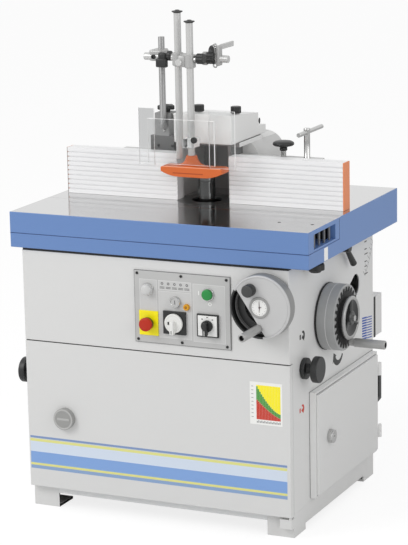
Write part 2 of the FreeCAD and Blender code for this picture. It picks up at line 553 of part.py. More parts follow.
door_x = (f"({tub_x[1]} + 0.4)", f"({tub_x[1]} + 0.4 + box_door)")
leaf = box(door_x, ("box_front + 8", f"{box_y[1]} - 10"), ("box_low + 8", "box_high - 8"))
barrels = []
for level in hinge_levels:
    high = f"{level} + hinge_height + 0.4"
    barrels.append(rod("z", "hinge_radius", (high, f"{high} + hinge_height"), hinge_axis))
    barrels.append(rod("z", "hinge_pin", (f"{level} + 2", f"{high} + 2"), hinge_axis))
    barrels.append(box((door_x[0], hinge_axis[0]), (f"{box_y[1]} - 14", hinge_axis[1]),
                       (high, f"{high} + hinge_height")))
box_lock_place = ("box_lock_y", "box_lock_z")
node("electrical_door", cut(fuse(leaf, *barrels), rod("x", "5 + running_fit", door_x, box_lock_place)))
node("electrical_lock", fuse(
    rod("x", "5", (f"{door_x[0]} - 8", f"{door_x[1]} + 2"), box_lock_place),
    rod("x", "box_lock_radius", (f"{door_x[1]} + 0.3", f"{door_x[1]} + box_lock_reach"), box_lock_place),
    box((f"{door_x[0]} - 8", f"{door_x[0]} - 4"), ("box_lock_y - 6", "box_lock_y + 6"),
        ("box_lock_z - 8", "box_lock_z + 24"))))
gear_back = f"({tub_x[0]} + sheet_wall)"
gear_plate = box((gear_back, f"{gear_back} + 3"), (f"{inner_y[0]} + 20", f"{inner_y[1]} - 20"),
                 (f"{inner_z[0]} + 20", f"{inner_z[1]} - 20"))
contactors = [box((f"{gear_back} + 3", f"{gear_back} + 58"),
                  (f"box_front + {60 + 62 * i}", f"box_front + {106 + 62 * i}"),
                  ("box_high - 130", "box_high - 50")) for i in range(6)]
terminals = box((f"{gear_back} + 3", f"{gear_back} + 40"), ("box_front + 60", f"{box_y[1]} - 60"),
                ("box_low + 60", "box_low + 110"))
node("electrical_gear", fuse(gear_plate, terminals, *contactors))


# Lifting bollards: a flanged post on each side, and two grab handles on the back.
def bollard(axis, base, way, across):
    """A sling post: base flange, neck and outer flange."""
    steps = ["0", "bollard_base", "bollard_base + bollard_groove",
             "bollard_base + bollard_groove + bollard_cap"]
    marks = [f"({base} + {way} * ({step}))" for step in steps]
    pieces = []
    for low, high, radius in zip(marks, marks[1:], ("bollard_foot", "bollard_neck", "bollard_radius")):
        pieces.append(rod(axis, radius, (low, high) if way > 0 else (high, low), across))
    return fuse(*pieces)


def grab_handle(x):
    """A closed handle on the back: a trapezoid block with a slot for the fingers."""
    block = doc.addObject("Part::Wedge", "Handle")
    bind(block, Xmin=x[0], X2min=x[0], Xmax=x[1], X2max=x[1], Ymin=back_y, Ymax=f"{back_y} + handle_reach",
         Zmin="handle_z - handle_half", Z2min="handle_z - handle_half + handle_chamfer",
         Zmax="handle_z + handle_half", Z2max="handle_z + handle_half - handle_chamfer")
    slot = box(x, (f"{back_y} + handle_reach * 0.2", f"{back_y} + handle_reach * 0.75"),
               ("handle_z - handle_half * 0.6", "handle_z + handle_half * 0.6"))
    return cut(block, slot)


node("lifting_bollards", group(
    bollard("x", right_x, 1, ("bollard_y", "bollard_z")),
    bollard("x", left_x, -1, ("bollard_left_y", "bollard_left_z")),
    grab_handle(("handle_x - handle_width", "handle_x")),
    grab_handle(("-handle_x", "-handle_x + handle_width"))))

# Tilt tracks under the table: two curved bands about the tilt axis.
track_spans = [(off(f"{side} * (member_half + slide_gap) + ({side} - 1) * track_thick / 2"),
                off(f"{side} * (member_half + slide_gap) + ({side} + 1) * track_thick / 2")) for side in (-1, 1)]
track_y = (f"{joint_y} + table_wall", f"{table_y[1]} - table_wall")
node("tilt_quadrants",
     group(*[arc_band("track_inner", "track_outer", span, track_y, (deep("2 * track_outer"), plate_low))
                               for span in track_spans]))

# Tilting carriage: the cross member that guides the quill, its shoes on the tracks, and the worm sector.
member = box((off("-member_half"), off("member_half")), (fore("member_front"), fore("-member_back")),
             (deep("member_bottom"), deep("member_top")))
cheek_y = (fore("cheek_front"), fore("-cheek_back"))
cheeks = [box(span, cheek_y, (deep("member_top + 20"), deep("track_inner - shoe_thick")))
          for span in ((off("-member_half"), off("-member_half + cheek_thick")),
                       (off("member_half - cheek_thick"), off("member_half")))]
shoe_spans = [(off("-member_half - track_thick"), off("-member_half + cheek_thick")),
              (off("member_half - cheek_thick"), off("member_half + track_thick"))]
shoe_y = (fore("shoe_half"), fore("-shoe_half"))
hook_y = (fore("shoe_half"), fore("-cheek_back"))
shoes = []
for span in shoe_spans:
    shoes.append(arc_band("track_outer + slide_gap", "track_outer + shoe_thick", span, shoe_y,
                          (deep("2 * track_outer"), deep("track_inner / 2"))))
    shoes.append(arc_band("track_inner - shoe_thick", "track_inner - slide_gap", span, hook_y,
                          (deep("2 * track_outer"), deep("track_inner / 4"))))
sector_x = ("(wheel_x - sector_width / 2)", "(wheel_x + sector_width / 2)")
sector_radius = "(table_height - wheel_z - worm_radius - slide_gap)"
sector = arc_band("sector_inner", sector_radius, sector_x, (fore("sector_lead"), fore("-arm_back")),
                  (deep(f"2 * {sector_radius}"), deep("table_edge + 1")))
arm_y_span = (fore("arm_front"), fore("-arm_back"))
arm = box((off("member_half - 1"), f"{sector_x[0]} - 4"), arm_y_span, (deep("arm_bottom"), deep("arm_top")))
sector_root = box((f"{sector_x[0]} - 16", sector_x[1]), arm_y_span,
                  (deep("sector_inner + 26"), deep("sector_inner - 6")))
arm_end = box((f"{sector_x[0]} - 16", f"{sector_x[0]} - 4"), arm_y_span,
              (deep("arm_bottom"), deep("sector_inner - 6")))
plate_x = (off("-motor_radius - 4"), off("motor_radius + 4"))
motor_shelf = box(plate_x, (fore("motor_offset + motor_radius"), fore("member_front")),
                  (deep("member_bottom"), deep("member_bottom - motor_plate")))
sleeve_start = off("member_half")
drum_x = (f"({right_x} + drum_gap)", f"({right_x} + drum_gap + drum_width)")
quill_hole = rod("z", "quill_radius + running_fit",
                 (deep("member_bottom - base_thick"), deep("member_top")), spindle)
hub_radius = "(spindle_pulley_radius - 14)"
hub_hole = rod("z", f"{hub_radius} + running_fit", (deep("member_bottom"), deep("member_top")), spindle)
rack_slot = box((off("-rack_width / 2 - slide_gap"), off("rack_width / 2 + slide_gap")),
                (fore("member_front"), fore("quill_bore + 11")), (deep("member_bottom"), deep("member_top")))
pinion_bore = rod("x", "height_shaft_radius + running_fit", (off("-rack_width"), off("member_half")), pinion)
motor_hole = rod("z", "motor_shaft_radius + clear_gap",
                 (deep("member_bottom"), deep("member_bottom - motor_plate")),
                 ("table_shift", fore("motor_offset")))
node("tilt_carriage", cut(fuse(member, *cheeks, *shoes, sector, arm, sector_root, arm_end, motor_shelf),
                          quill_hole, hub_hole, rack_slot, pinion_bore, motor_hole))

# Quill with its rack and two bearings.
quill_span = (deep("quill_top + quill_length"), deep("quill_top"))
quill_body = rod("z", "quill_radius", quill_span, spindle)
rack_face = "(pinion_offset - pinion_radius - slide_gap)"
rack = box((off("-rack_width / 2"), off("rack_width / 2")), (fore(rack_face), fore("quill_bore + 12")),
           (deep("quill_top + 10 + rack_length"), deep("quill_top + 10")))
bearing_spans = [(deep("quill_top + bearing_width"), deep("quill_top")),
                 (deep("quill_top + quill_length"), deep("quill_top + quill_length - bearing_width"))]
bearing_seats = [rod("z", "bearing_radius", span, spindle) for span in bearing_spans]
node("quill", cut(fuse(quill_body, rack), rod("z", "quill_bore", quill_span, spindle), *bearing_seats))
node("quill_bearings", group(*[tube("z", "bearing_radius", "shaft_radius + running_fit", span, spindle)
                               for span in bearing_spans]))

# Spindle: splined tail, bearing length, neck and arbor, with spacing collars and a nut.
collar_low = deep("collar_sink")
collar_high = deep("-nose_height + nut_height")
node("spindle", fuse(
    rod("z", "spline_radius", (deep("spline_end"), deep("quill_top + quill_length")), spindle),
    rod("z", "shaft_radius", (deep("quill_top + quill_length + 2"), deep("neck_depth")), spindle),
    rod("z", "collar_radius", (deep("neck_depth"), collar_low), spindle),
    rod("z", "arbor_radius", (collar_low, deep("-nose_height + 2")), spindle)))
collar_step = f"(({collar_high}) - ({collar_low})) / collar_count"
collars = [tube("z", "collar_radius", "arbor_radius + running_fit",
                (f"{collar_low} + {i} * {collar_step}", f"{collar_low} + {i + 1} * {collar_step}"), spindle)
           for i in range(int(number("collar_count")))]
nut = cut(hexagon("z", "collar_radius - 1", (collar_high, deep("-nose_height")), spindle),
          rod("z", "arbor_radius + running_fit", (collar_high, deep("-nose_height")), spindle))
node("spindle_collars", group(*collars, nut))

# Motor on the shelf of the carriage, its shaft and pulley, the driven pulley and the belt.
motor_place = ("table_shift", fore("motor_offset"))
shelf_top = deep("member_bottom - motor_plate")
motor_body = rod("z", "motor_radius", (shelf_top, deep("motor_top")), motor_place)
terminal_box = box((off("-45"), off("45")),
                   (fore("motor_offset + motor_radius + 18"), fore("motor_offset + motor_radius - 20")),
                   (deep("motor_top + 90"), deep("motor_top + 20")))
motor_bore = rod("z", "motor_shaft_radius + running_fit", (shelf_top, deep("motor_top + 30")), motor_place)
node("motor", cut(fuse(motor_body, terminal_box), motor_bore))
pulley_span = (deep("pulley_depth + pulley_width"), deep("pulley_depth"))
node("motor_shaft", fuse(
    rod("z", "motor_shaft_radius", (pulley_span[0], deep("motor_top + 32")), motor_place),
    rod("z", "motor_pulley_radius", pulley_span, motor_place)))
hub_top = deep("member_bottom - base_thick + 2")
node("spindle_pulley", cut(
    fuse(rod("z", "spindle_pulley_radius", pulley_span, spindle),
         rod("z", hub_radius, (pulley_span[1], hub_top), spindle)),
    rod("z", "spline_radius + running_fit", (pulley_span[0], hub_top), spindle)))


def belt_shape():
    """A flat loop round the two pulleys, with its straight runs tangent to both."""
    gap = number("slide_gap")
    distance = number("motor_offset")
    lean = math.asin((number("motor_pulley_radius") - number("spindle_pulley_radius")) / distance)
    faces = []
    for extra in (gap + number("belt_thick"), gap):
        small = number("spindle_pulley_radius") + extra
        large = number("motor_pulley_radius") + extra
        side = FreeCAD.Vector(math.cos(lean), math.sin(lean), 0)
        motor_centre = FreeCAD.Vector(0, -distance, 0)
        right = [side * small, motor_centre + side * large]
        left = [FreeCAD.Vector(-p.x, p.y, 0) for p in right]
        edges = [Part.LineSegment(right[0], right[1]).toShape(),
                 Part.Arc(right[1], motor_centre + FreeCAD.Vector(0, -large, 0), left[1]).toShape(),
                 Part.LineSegment(left[1], left[0]).toShape(),
                 Part.Arc(left[0], FreeCAD.Vector(0, small, 0), right[0]).toShape()]
        faces.append(Part.Face(Part.Wire(edges)))
    loop = faces[0].cut(faces[1])
    return loop.extrude(FreeCAD.Vector(0, 0, number("belt_width")))


belt = doc.addObject("Part::Feature", "Belt")
belt.Shape = belt_shape()
put(belt, *spindle, deep("pulley_depth + (pulley_width + belt_width) / 2"))
node("drive_belt", belt)

# Height drive: a pinion shaft through the side, in a sleeve that carries the drum outside.
sleeve = rod("x", "sleeve_radius", (sleeve_start, drum_x[1]), pinion)
ring_x = (f"({drum_x[1]} - clamp_ring_sink)", f"({drum_x[1]} - clamp_ring_sink + clamp_ring_width)")
drum_boss = rod("x", "drum_boss", (drum_x[0], ring_x[1]), pinion)
drum_shell = rod("x", "drum_radius", drum_x, pinion)
drum_hollow = rod("x", "drum_radius - drum_wall", (drum_x[0], f"{drum_x[1]} - drum_wall"), pinion)
shaft_clear = rod("x", "height_shaft_radius + running_fit", (sleeve_start, ring_x[1]), pinion)
node("height_drum", cut(fuse(cut(drum_shell, drum_hollow), sleeve, drum_boss), shaft_clear))
node("height_clamp_ring", tube("x", "clamp_ring_radius", "drum_boss + running_fit", ring_x, pinion))
side_x = (f"({ring_x[1]} + 1)", f"({ring_x[1]} + 1 + 2 * side_rim_radius)")
rim = doc.addObject("Part::Torus", "Rim")
bind(rim, Radius1="side_wheel_radius", Radius2="side_rim_radius")
along("x", rim, f"({side_x[0]} + side_rim_radius)", pinion)
side_web = rod("x", "side_wheel_radius", (side_x[0], f"{side_x[0]} + 6"), pinion)
side_hub = rod("x", "22", (side_x[0], f"{side_x[0]} + 14"), pinion)
grip_z = f"({pinion[1]} - side_grip_offset)"
side_grip = (pinion[0], grip_z)
grip_start = f"({side_x[1]} + 2)"
grip_lug = rod("x", "side_grip_radius - 2", (f"{side_x[0]} + 2", grip_start), side_grip)
grip_stud = rod("x", "grip_stud", (grip_start, f"{grip_start} + side_grip_length"), side_grip)
node("height_handwheel", fuse(rim, side_web, side_hub, grip_lug, grip_stud))
node("height_shaft", fuse(
    rod("x", "height_shaft_radius", (off("rack_width / 2 - 1"), side_x[0]), pinion),
    rod("x", "pinion_radius", (off("-rack_width / 2 + 1"), off("rack_width / 2 - 1")), pinion)))
node("height_grip", tube("x", "side_grip_radius", "grip_stud + running_fit",
                         (f"{grip_start} + slide_gap", f"{grip_start} + side_grip_length"), side_grip))

# Tilt drive: a dished handwheel with a dial, a grip and a clamp knob, on the worm shaft.
wheel_y = (f"({face_y} - wheel_standoff - wheel_width)", f"({face_y} - wheel_standoff)")
wheel_inside = "(wheel_radius - wheel_rim)"
dial_y = (f"({wheel_y[0]} - 3)", f"({wheel_y[0]} + dial_depth)")
wheel_shell = cut(rod("y", "wheel_radius", wheel_y, shaft_place),
                  rod("y", wheel_inside, (f"{wheel_y[0]} + wheel_face", wheel_y[1]), shaft_place))
wheel_hub = rod("y", "wheel_hub", (wheel_y[0], f"{wheel_y[1]} - 6"), shaft_place)
recess_turn = math.radians(number("recess_turn"))
way_x = math.cos(recess_turn)
way_z = math.sin(recess_turn)
recess_block = doc.addObject("Part::Box", "Recess")
bind(recess_block, Length="2 * wheel_radius", Width="wheel_face", Height="wheel_radius")
recess_block.Placement = FreeCAD.Placement(
    FreeCAD.Vector(), FreeCAD.Rotation(FreeCAD.Vector(0, 1, 0), 90 - number("recess_turn")))
put(recess_block, f"wheel_x + {way_x} * recess_chord - {way_z} * wheel_radius", wheel_y[0],
    f"wheel_z + {way_z} * recess_chord + {way_x} * wheel_radius")
recess = common(recess_block, rod("y", wheel_inside, (wheel_y[0], f"{wheel_y[0]} + wheel_face"), shaft_place))
recess_floor = rod("y", wheel_inside, (f"{wheel_y[0]} + recess_depth", f"{wheel_y[0]} + recess_depth + 6"),
                   shaft_place)
grip_place = ("wheel_x + grip_x", "wheel_z - grip_drop")
grip_post = rod("y", "grip_stud", (f"{wheel_y[0]} - grip_length", f"{wheel_y[0]} + wheel_face"), grip_place)
knob_place = ("wheel_x + tilt_knob_x", "wheel_z + tilt_knob_rise")
knob_bore = rod("y", "grip_stud + running_fit", (wheel_y[0], f"{wheel_y[0]} + wheel_face"), knob_place)
dial_pocket = rod("y", "dial_radius + slide_gap", (wheel_y[0], dial_y[1]), shaft_place)
axle_bore = rod("y", "tilt_shaft_radius", (wheel_y[0], wheel_y[1]), shaft_place)
wheel_cup = cut(wheel_shell, recess)
node("tilt_handwheel",
     cut(fuse(wheel_cup, wheel_hub, recess_floor, grip_post), dial_pocket, axle_bore, knob_bore))
node("tilt_dial", rod("y", "dial_radius", dial_y, shaft_place))
worm_y = ("(spindle_y - worm_length / 2)", "(spindle_y + worm_length / 2)")
node("tilt_worm_shaft", fuse(
    rod("y", "tilt_shaft_radius", (dial_y[1], "bracket_y + bracket_thick"), shaft_place),
    rod("y", "worm_radius", worm_y, shaft_place)))
node("tilt_grip", tube("y", "grip_radius", "grip_stud + running_fit",
                       (f"{wheel_y[0]} - grip_length", f"{wheel_y[0]} - slide_gap"), grip_place))
node("tilt_wheel_knob", fuse(
    rod("y", "tilt_knob_radius", (f"{wheel_y[0]} - tilt_knob_height", f"{wheel_y[0]} - slide_gap"),
        knob_place),
    rod("y", "grip_stud", (f"{wheel_y[0]} - slide_gap", f"{wheel_y[0]} + wheel_face + 3"), knob_place)))

# Tilt lock lever on the right side, under the table edge.
lever_x = (f"({right_x} + 2)", f"({right_x} + 2 + lever_hub_width)")
lever_place = ("lever_y", "lever_z")
lever_arm = doc.addObject("Part::Cone", "LeverArm")
bind(lever_arm, Radius1="lever_radius * 0.7", Radius2="lever_radius", Height="lever_length")
lever_arm.Placement = FreeCAD.Placement(FreeCAD.Vector(), FreeCAD.Rotation(FreeCAD.Vector(1, 0, 0), -135))
put(lever_arm, f"{lever_x[1]} - lever_radius - 1", *lever_place)
node("tilt_lock_lever", fuse(
    rod("x", "lever_hub", lever_x, lever_place),
    rod("x", "lever_pin", (f"{right_x} - sheet_wall - 6", lever_x[0]), lever_place),
    lever_arm))

# Fence: two plates that slide along X on a housing, and the dust hood above the cutter.
fence_z = ("table_height", "(table_height + fence_height)")
fence_y = ("fence_face", "(fence_face + fence_thick)")
fence_back = f"({fence_y[1]} + slide_gap)"
left_cap = "(fence_left_end + cap_thick)"
right_cap = "(fence_right_end - cap_thick)"
node("fence_plate_left", group(box((left_cap, "fence_left_gap"), fence_y, fence_z),
                               box(("fence_left_end", left_cap), fence_y, fence_z)))
node("fence_plate_right", group(box(("fence_right_gap", right_cap), fence_y, fence_z),
                                box((right_cap, "fence_right_end"), fence_y, fence_z)))
carrier_back = f"({fence_back} + carrier_depth)"
shelf_z = ("(table_height + carrier_height - carrier_wall)", "(table_height + carrier_height)")
carriers = []
for span in (("carrier_left", "housing_left"), ("wall_right", "carrier_right")):
    carriers.append(box(span, (fence_back, carrier_back), ("table_height", "table_height + carrier_wall")))
    carriers.append(box(span, (fence_back, f"{fence_back} + carrier_wall"), ("table_height", shelf_z[1])))
    carriers.append(box(span, (fence_back, carrier_back), shelf_z))
housing_top = "(table_height + housing_height)"
lid_z = (f"({housing_top} - housing_lid)", housing_top)
wall_z = ("table_height", housing_top)
rear_wall_y = ("housing_back - housing_wall", "housing_back")
walls = [box(("housing_left", "housing_left + housing_wall"), ("housing_front", "housing_back"), wall_z),
         box(("wall_right - housing_wall", "wall_right"), ("housing_front", "housing_back"), wall_z),
         box(("housing_left", "wall_right"), rear_wall_y, wall_z),
         box(("housing_left", "housing_right"), ("housing_front", "housing_back"), lid_z)]
inner_space = box(("housing_left + housing_wall", "wall_right - housing_wall"),
                  ("housing_front", rear_wall_y[0]),
                  ("table_height", lid_z[0]))
spigot_place = ("spigot_x", "spigot_z")
chute_start = "(housing_back - chute_length)"
spigot_end = "(housing_back + spigot_length)"
chute = cut(rod("y", "spigot_radius + chute_step", (chute_start, "housing_back"), spigot_place), inner_space)
spigot = fuse(chute, rod("y", "spigot_radius", (rear_wall_y[0], spigot_end), spigot_place))
duct = rod("y", "spigot_radius - spigot_wall", (f"{chute_start} + spigot_wall", spigot_end), spigot_place)
fence_knob_place = ("fence_knob_x", "fence_knob_y")
tee_place = ("tee_x", "fence_knob_y")
stud_holes = [rod("z", "fence_stud + running_fit", shelf_z, place) for place in (fence_knob_place, tee_place)]
hood_knobs = {"left": ("hood_knob_left", "hood_knob_y"), "right": ("hood_knob_right", "hood_knob_y")}
hood_stud_holes = [rod("z", "hood_stud + running_fit", lid_z, place) for place in hood_knobs.values()]
node("fence_housing", cut(fuse(*carriers, *walls, spigot), duct, *stud_holes, *hood_stud_holes))


def hood_block(inset):
    """The sloping hood with its low back step, drawn in by an inset on every side but the bottom."""
    body = doc.addObject("Part::Wedge", "HoodBody")
    bind(body, Xmin=f"hood_left + {inset}", X2min=f"hood_left + {inset}", Xmax=f"hood_right - {inset}",
         X2max=f"hood_right - {inset}", Ymin=f"hood_front + {inset}",
         Ymax=f"hood_front + hood_depth - {inset}",
         Zmin=housing_top, Z2min=housing_top, Zmax=f"{housing_top} + hood_front_height - {inset}",
         Z2max=f"{housing_top} + hood_back_height - {inset}")
    step = box((f"hood_left + {inset}", f"hood_right - {inset}"),
               ("hood_front + hood_depth / 2", f"hood_front + hood_depth + hood_step - {inset}"),
               (housing_top, f"{housing_top} + hood_step_height - {inset}"))
    return fuse(body, step)


hood_slope = "((hood_front_height - hood_back_height) / hood_depth)"
knob_foot = (f"({housing_top} + hood_front_height + 1"
             f" - {hood_slope} * (hood_knob_y - hood_knob_radius - hood_front))")
hood_holes = [rod("z", "hood_stud + clear_gap", (housing_top, f"{housing_top} + hood_front_height"), place)
              for place in hood_knobs.values()]
node("hood", cut(hood_block("0"), hood_block("hood_wall"), *hood_holes))
for side, place in hood_knobs.items():
    node(f"hood_knob_{side}", fuse(
        rod("z", "hood_stud", (f"{lid_z[0]} + 1", knob_foot), place),
        rod("z", "hood_knob_radius", (knob_foot, f"{knob_foot} + hood_knob_height"), place)))

# Fence clamps: a round knob and a tee handle on the right carrier.
knob_low = f"({shelf_z[1]} + fence_knob_rise)"
node("fence_clamp_knob", fuse(
    rod("z", "fence_stud", (f"{shelf_z[0]} - 10", knob_low), fence_knob_place),
    rod("z", "fence_knob_radius", (knob_low, f"{knob_low} + fence_knob_height"), fence_knob_place)))
tee_top = f"({shelf_z[1]} + tee_height)"
tee_bar = rod("y", "tee_bar_radius", ("fence_knob_y - tee_bar_front", "fence_knob_y + tee_bar_back"),
              ("tee_x", f"{tee_top} - tee_bar_drop"))
node("fence_t_handle", fuse(
    rod("z", "fence_stud", (f"{shelf_z[0]} - 10", shelf_z[1]), tee_place),
    rod("z", "tee_radius", (shelf_z[1], tee_top), tee_place), tee_bar))

# Guard post on the left carrier, the arm that slides on it, and what the arm holds.
holder_z = (shelf_z[1], f"({shelf_z[1]} + holder_height)")
holder_top = f"({holder_z[1]} + holder_top_height)"
holder_y = ("holder_y", "(holder_y + holder_depth)")
post_place = ("post_x", "post_y")
boss_z = (f"({holder_top} - post_boss_height)", holder_top)
post_knob_place = ("holder_x", "post_knob_y")
post_knob_hole = rod("z", "post_stud + running_fit", (f"{holder_top} - 22", holder_top), post_knob_place)
half_wide = "holder_width / 2"
half_top = "holder_top_width / 2"
node("guard_post", cut(fuse(
    box((f"holder_x - {half_wide}", f"holder_x + {half_wide}"), holder_y, holder_z),
    box((f"holder_x - {half_top}", f"holder_x + {half_top}"), holder_y, (holder_z[1], holder_top)),
    rod("z", "post_boss", (boss_z[0], f"{boss_z[0]} + post_foot"), post_place),
    rod("z", "post_radius", (boss_z[0], f"{boss_z[0]} + post_height"), post_place)), post_knob_hole))
node("post_knob", fuse(
    rod("z", "post_stud", (f"{holder_top} - 20", f"{holder_top} + 2"), post_knob_place),
    rod("z", "post_knob_radius", (f"{holder_top} + slide_gap", f"{holder_top} + post_knob_height"),
        post_knob_place)))

clamp_z = ("(arm_z - clamp_height / 2)", "(arm_z + clamp_height / 2)")
post_clamp = box(("post_x - clamp_half", "post_x + clamp_half"),
                 ("arm_y - arm_radius - 5", "post_y + clamp_half"), clamp_z)
cross_rod = rod("x", "arm_radius", ("arm_left", "arm_right"), ("arm_y", "arm_z"))
reach_rod = rod("y", "reach_radius", ("reach_front", "arm_y"), ("reach_x", "arm_z"))
bar_places = {"shoe": ("shoe_bar_x", "shoe_bar_y"), "rear": ("rear_bar_x", "rear_bar_y")}
bar_clamps = []
for x, y in bar_places.values():
    bar_clamps.append(box((f"min({x} - bar_clamp; reach_x)", f"max({x} + bar_clamp; reach_x)"),
                          (f"{y} - bar_clamp", f"{y} + bar_clamp"), clamp_z))
eye = rod("y", "eye_radius", ("arm_y - eye_radius", "arm_y + eye_radius"), ("eye_x", "arm_z"))
eye_post = rod("z", "stay_radius + 1.5", ("arm_z - eye_half / 2", "arm_z + eye_half + 4"), ("eye_x", "arm_y"))
stay = rod("y", "stay_radius", ("arm_y", "arm_y + stay_length"), ("eye_x", "arm_z + eye_half - stay_radius"))
arm_holes = [rod("z", "bar_radius + running_fit", clamp_z, place) for place in bar_places.values()]
node("guard_arm", cut(fuse(post_clamp, cross_rod, reach_rod, eye, eye_post, stay, *bar_clamps),
                      rod("z", "post_radius + running_fit", clamp_z, post_place), *arm_holes))

bar_low = "(shoe_low + shoe_thick_z)"
node("shoe_bar", fuse(
    rod("z", "bar_radius", (bar_low, "shoe_bar_top"), bar_places["shoe"]),
    rod("z", "bar_cap_radius", ("shoe_bar_top", "shoe_bar_top + bar_cap"), bar_places["shoe"])))
node("rear_bar", fuse(
    rod("z", "bar_radius", ("rear_bar_low", "rear_bar_top"), bar_places["rear"]),
    rod("z", "bar_cap_radius", ("rear_bar_top", "rear_bar_top + bar_cap"), bar_places["rear"])))


def shoe_end(tip_x, turn, across):
    """An upturned end of the pressure shoe, from its tip to the flat middle."""
    end = doc.addObject("Part::Wedge", "ShoeEnd")
    bind(end, Ymin="0", Ymax="shoe_curl", Xmin=across[0], X2min=across[0], Xmax=across[1], X2max=across[1],
         Zmin="shoe_rise", Zmax="shoe_rise + shoe_thick_z", Z2min="0", Z2max="shoe_thick_z")
    end.Placement = FreeCAD.Placement(FreeCAD.Vector(), FreeCAD.Rotation(FreeCAD.Vector(0, 0, 1), turn))
    return put(end, tip_x, "0", "shoe_low")


sole = box(("shoe_left + shoe_curl", "shoe_right - shoe_curl"), ("shoe_front_y", "shoe_back_y"),
           ("shoe_low", bar_low))
left_end = shoe_end("shoe_left", -90, ("-shoe_back_y", "-shoe_front_y"))
right_end = shoe_end("shoe_right", 90, ("shoe_front_y", "shoe_back_y"))
hub = tube("z", "shoe_hub", "bar_radius", (bar_low, f"{bar_low} + shoe_hub_height"), bar_places["shoe"])
node("pressure_shoe", fuse(sole, left_end, right_end, hub))

pane_y = ("guard_y", "(guard_y + guard_thick)")
wing_y = (pane_y[1], f"({pane_y[1]} + guard_thick)")
pane = box(("guard_left", "guard_right"), pane_y, ("guard_low", "guard_high"))
wings = [box(("wing_left", "guard_left + wing_lap"), wing_y, ("wing_low", "wing_high")),
         box(("guard_right - wing_lap", "wing_right"), wing_y, ("wing_low", "wing_high"))]
clip_z = ("guard_clip_z - guard_clip / 2", "guard_clip_z + guard_clip / 2")
clip = box(("shoe_bar_x - guard_clip * 0.7", "shoe_bar_x + guard_clip * 0.7"),
           (pane_y[1], "shoe_bar_y + guard_clip * 0.7"), clip_z)
node("clear_guard", cut(fuse(pane, *wings, clip), rod("z", "bar_radius", clip_z, bar_places["shoe"])))

# Checks on every object, then one file a sub-part.
doc.recompute()
for item in doc.Objects:
    if "Invalid" in item.State or "Error" in item.State:
        raise RuntimeError(f"{item.Label} is not built: {item.State}")
    if hasattr(item, "Shape") and (item.Shape.isNull() or not item.Shape.isValid()):
        raise RuntimeError(f"{item.Label} has no valid shape")
if len(NODES) > 60:
    raise RuntimeError(f"{len(NODES)} sub-parts, more than 60")
os.makedirs("parts", exist_ok=True)
for name, item in NODES.items():
    item.Shape.exportStep(f"parts/{name}.step")
    bounds = item.Shape.BoundBox
    print(name, len(item.Shape.Solids), "solid(s)", [round(v, 1) for v in (
        bounds.XMin, bounds.XMax, bounds.YMin, bounds.YMax, bounds.ZMin, bounds.ZMax)])
print(len(NODES), "sub-parts written")
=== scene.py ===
# %% [markdown]
# # A spindle moulder, dressed piece by piece
# The machine is a sheet steel cabinet with a heavy cast table, a spindle that stands up through the table, and a
# fence with a hood and a pressure shoe around it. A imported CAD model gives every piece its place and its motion.
# This lesson loads that model as a fixed frame and puts finished pieces and finishes on it. Lengths are written in
# millimetres and become metres when a piece is finished.

# %% Load the frame
import json
from math import atan2, cos, hypot, pi, radians, sin, tau

import bmesh
import bpy
from mathutils import Matrix, Vector

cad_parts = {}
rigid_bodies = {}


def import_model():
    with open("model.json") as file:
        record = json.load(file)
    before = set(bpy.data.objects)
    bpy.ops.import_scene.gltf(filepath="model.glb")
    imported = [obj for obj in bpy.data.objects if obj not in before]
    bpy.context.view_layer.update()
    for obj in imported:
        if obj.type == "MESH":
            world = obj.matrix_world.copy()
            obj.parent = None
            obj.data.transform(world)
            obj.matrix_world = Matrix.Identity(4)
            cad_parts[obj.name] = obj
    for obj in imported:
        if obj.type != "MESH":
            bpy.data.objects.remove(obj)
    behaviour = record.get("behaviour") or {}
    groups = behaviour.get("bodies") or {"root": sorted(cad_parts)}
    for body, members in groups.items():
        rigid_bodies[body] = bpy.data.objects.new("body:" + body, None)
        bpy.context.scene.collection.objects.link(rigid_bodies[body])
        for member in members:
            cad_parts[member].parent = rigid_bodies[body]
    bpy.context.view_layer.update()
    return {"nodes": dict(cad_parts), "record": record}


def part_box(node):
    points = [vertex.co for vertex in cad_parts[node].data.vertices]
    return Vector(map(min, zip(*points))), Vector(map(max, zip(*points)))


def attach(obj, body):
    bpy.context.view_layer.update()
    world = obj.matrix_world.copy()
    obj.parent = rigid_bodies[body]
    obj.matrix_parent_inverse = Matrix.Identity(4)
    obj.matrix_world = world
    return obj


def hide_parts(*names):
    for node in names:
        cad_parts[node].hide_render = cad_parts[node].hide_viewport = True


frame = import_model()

MM = 0.001
scene = bpy.context.scene
scene.view_settings.view_transform = "Standard"

# %% [markdown]
# ## Camera
# The photograph was taken from the right front, a little above the table, with a long lens. A camera could be aimed
# by eye. Here its turn round the machine, its height above the horizon and a small roll are given as measured, so
# that edges fall where the photograph has them. Three directions follow from them: right, up and back.

# %% Camera at the photograph's place
PHOTO_HEIGHT, FOCAL_PIXELS = 545, 2238.2
TURN, RISE, ROLL = radians(24.963), radians(12.729), radians(-1.136)
CAMERA_PLACE = Vector((2761.2, -5922.0, 2153.4)) * MM

back = Vector((sin(TURN) * cos(RISE), -cos(TURN) * cos(RISE), sin(RISE)))
level_right = (-back).cross(Vector((0, 0, 1))).normalized()
level_up = level_right.cross(-back)
right = level_right * cos(ROLL) + level_up * sin(ROLL)
up = level_up * cos(ROLL) - level_right * sin(ROLL)
lens = bpy.data.cameras.new("camera")
lens.sensor_width = 36
lens.lens = FOCAL_PIXELS * lens.sensor_width / PHOTO_HEIGHT
camera = bpy.data.objects.new("camera", lens)
camera.matrix_world = Matrix((right, up, back)).transposed().to_4x4()
camera.location = CAMERA_PLACE
scene.collection.objects.link(camera)
scene.camera = camera
print(f"camera: {lens.lens:.1f} mm lens, {CAMERA_PLACE.length:.2f} m from the origin")

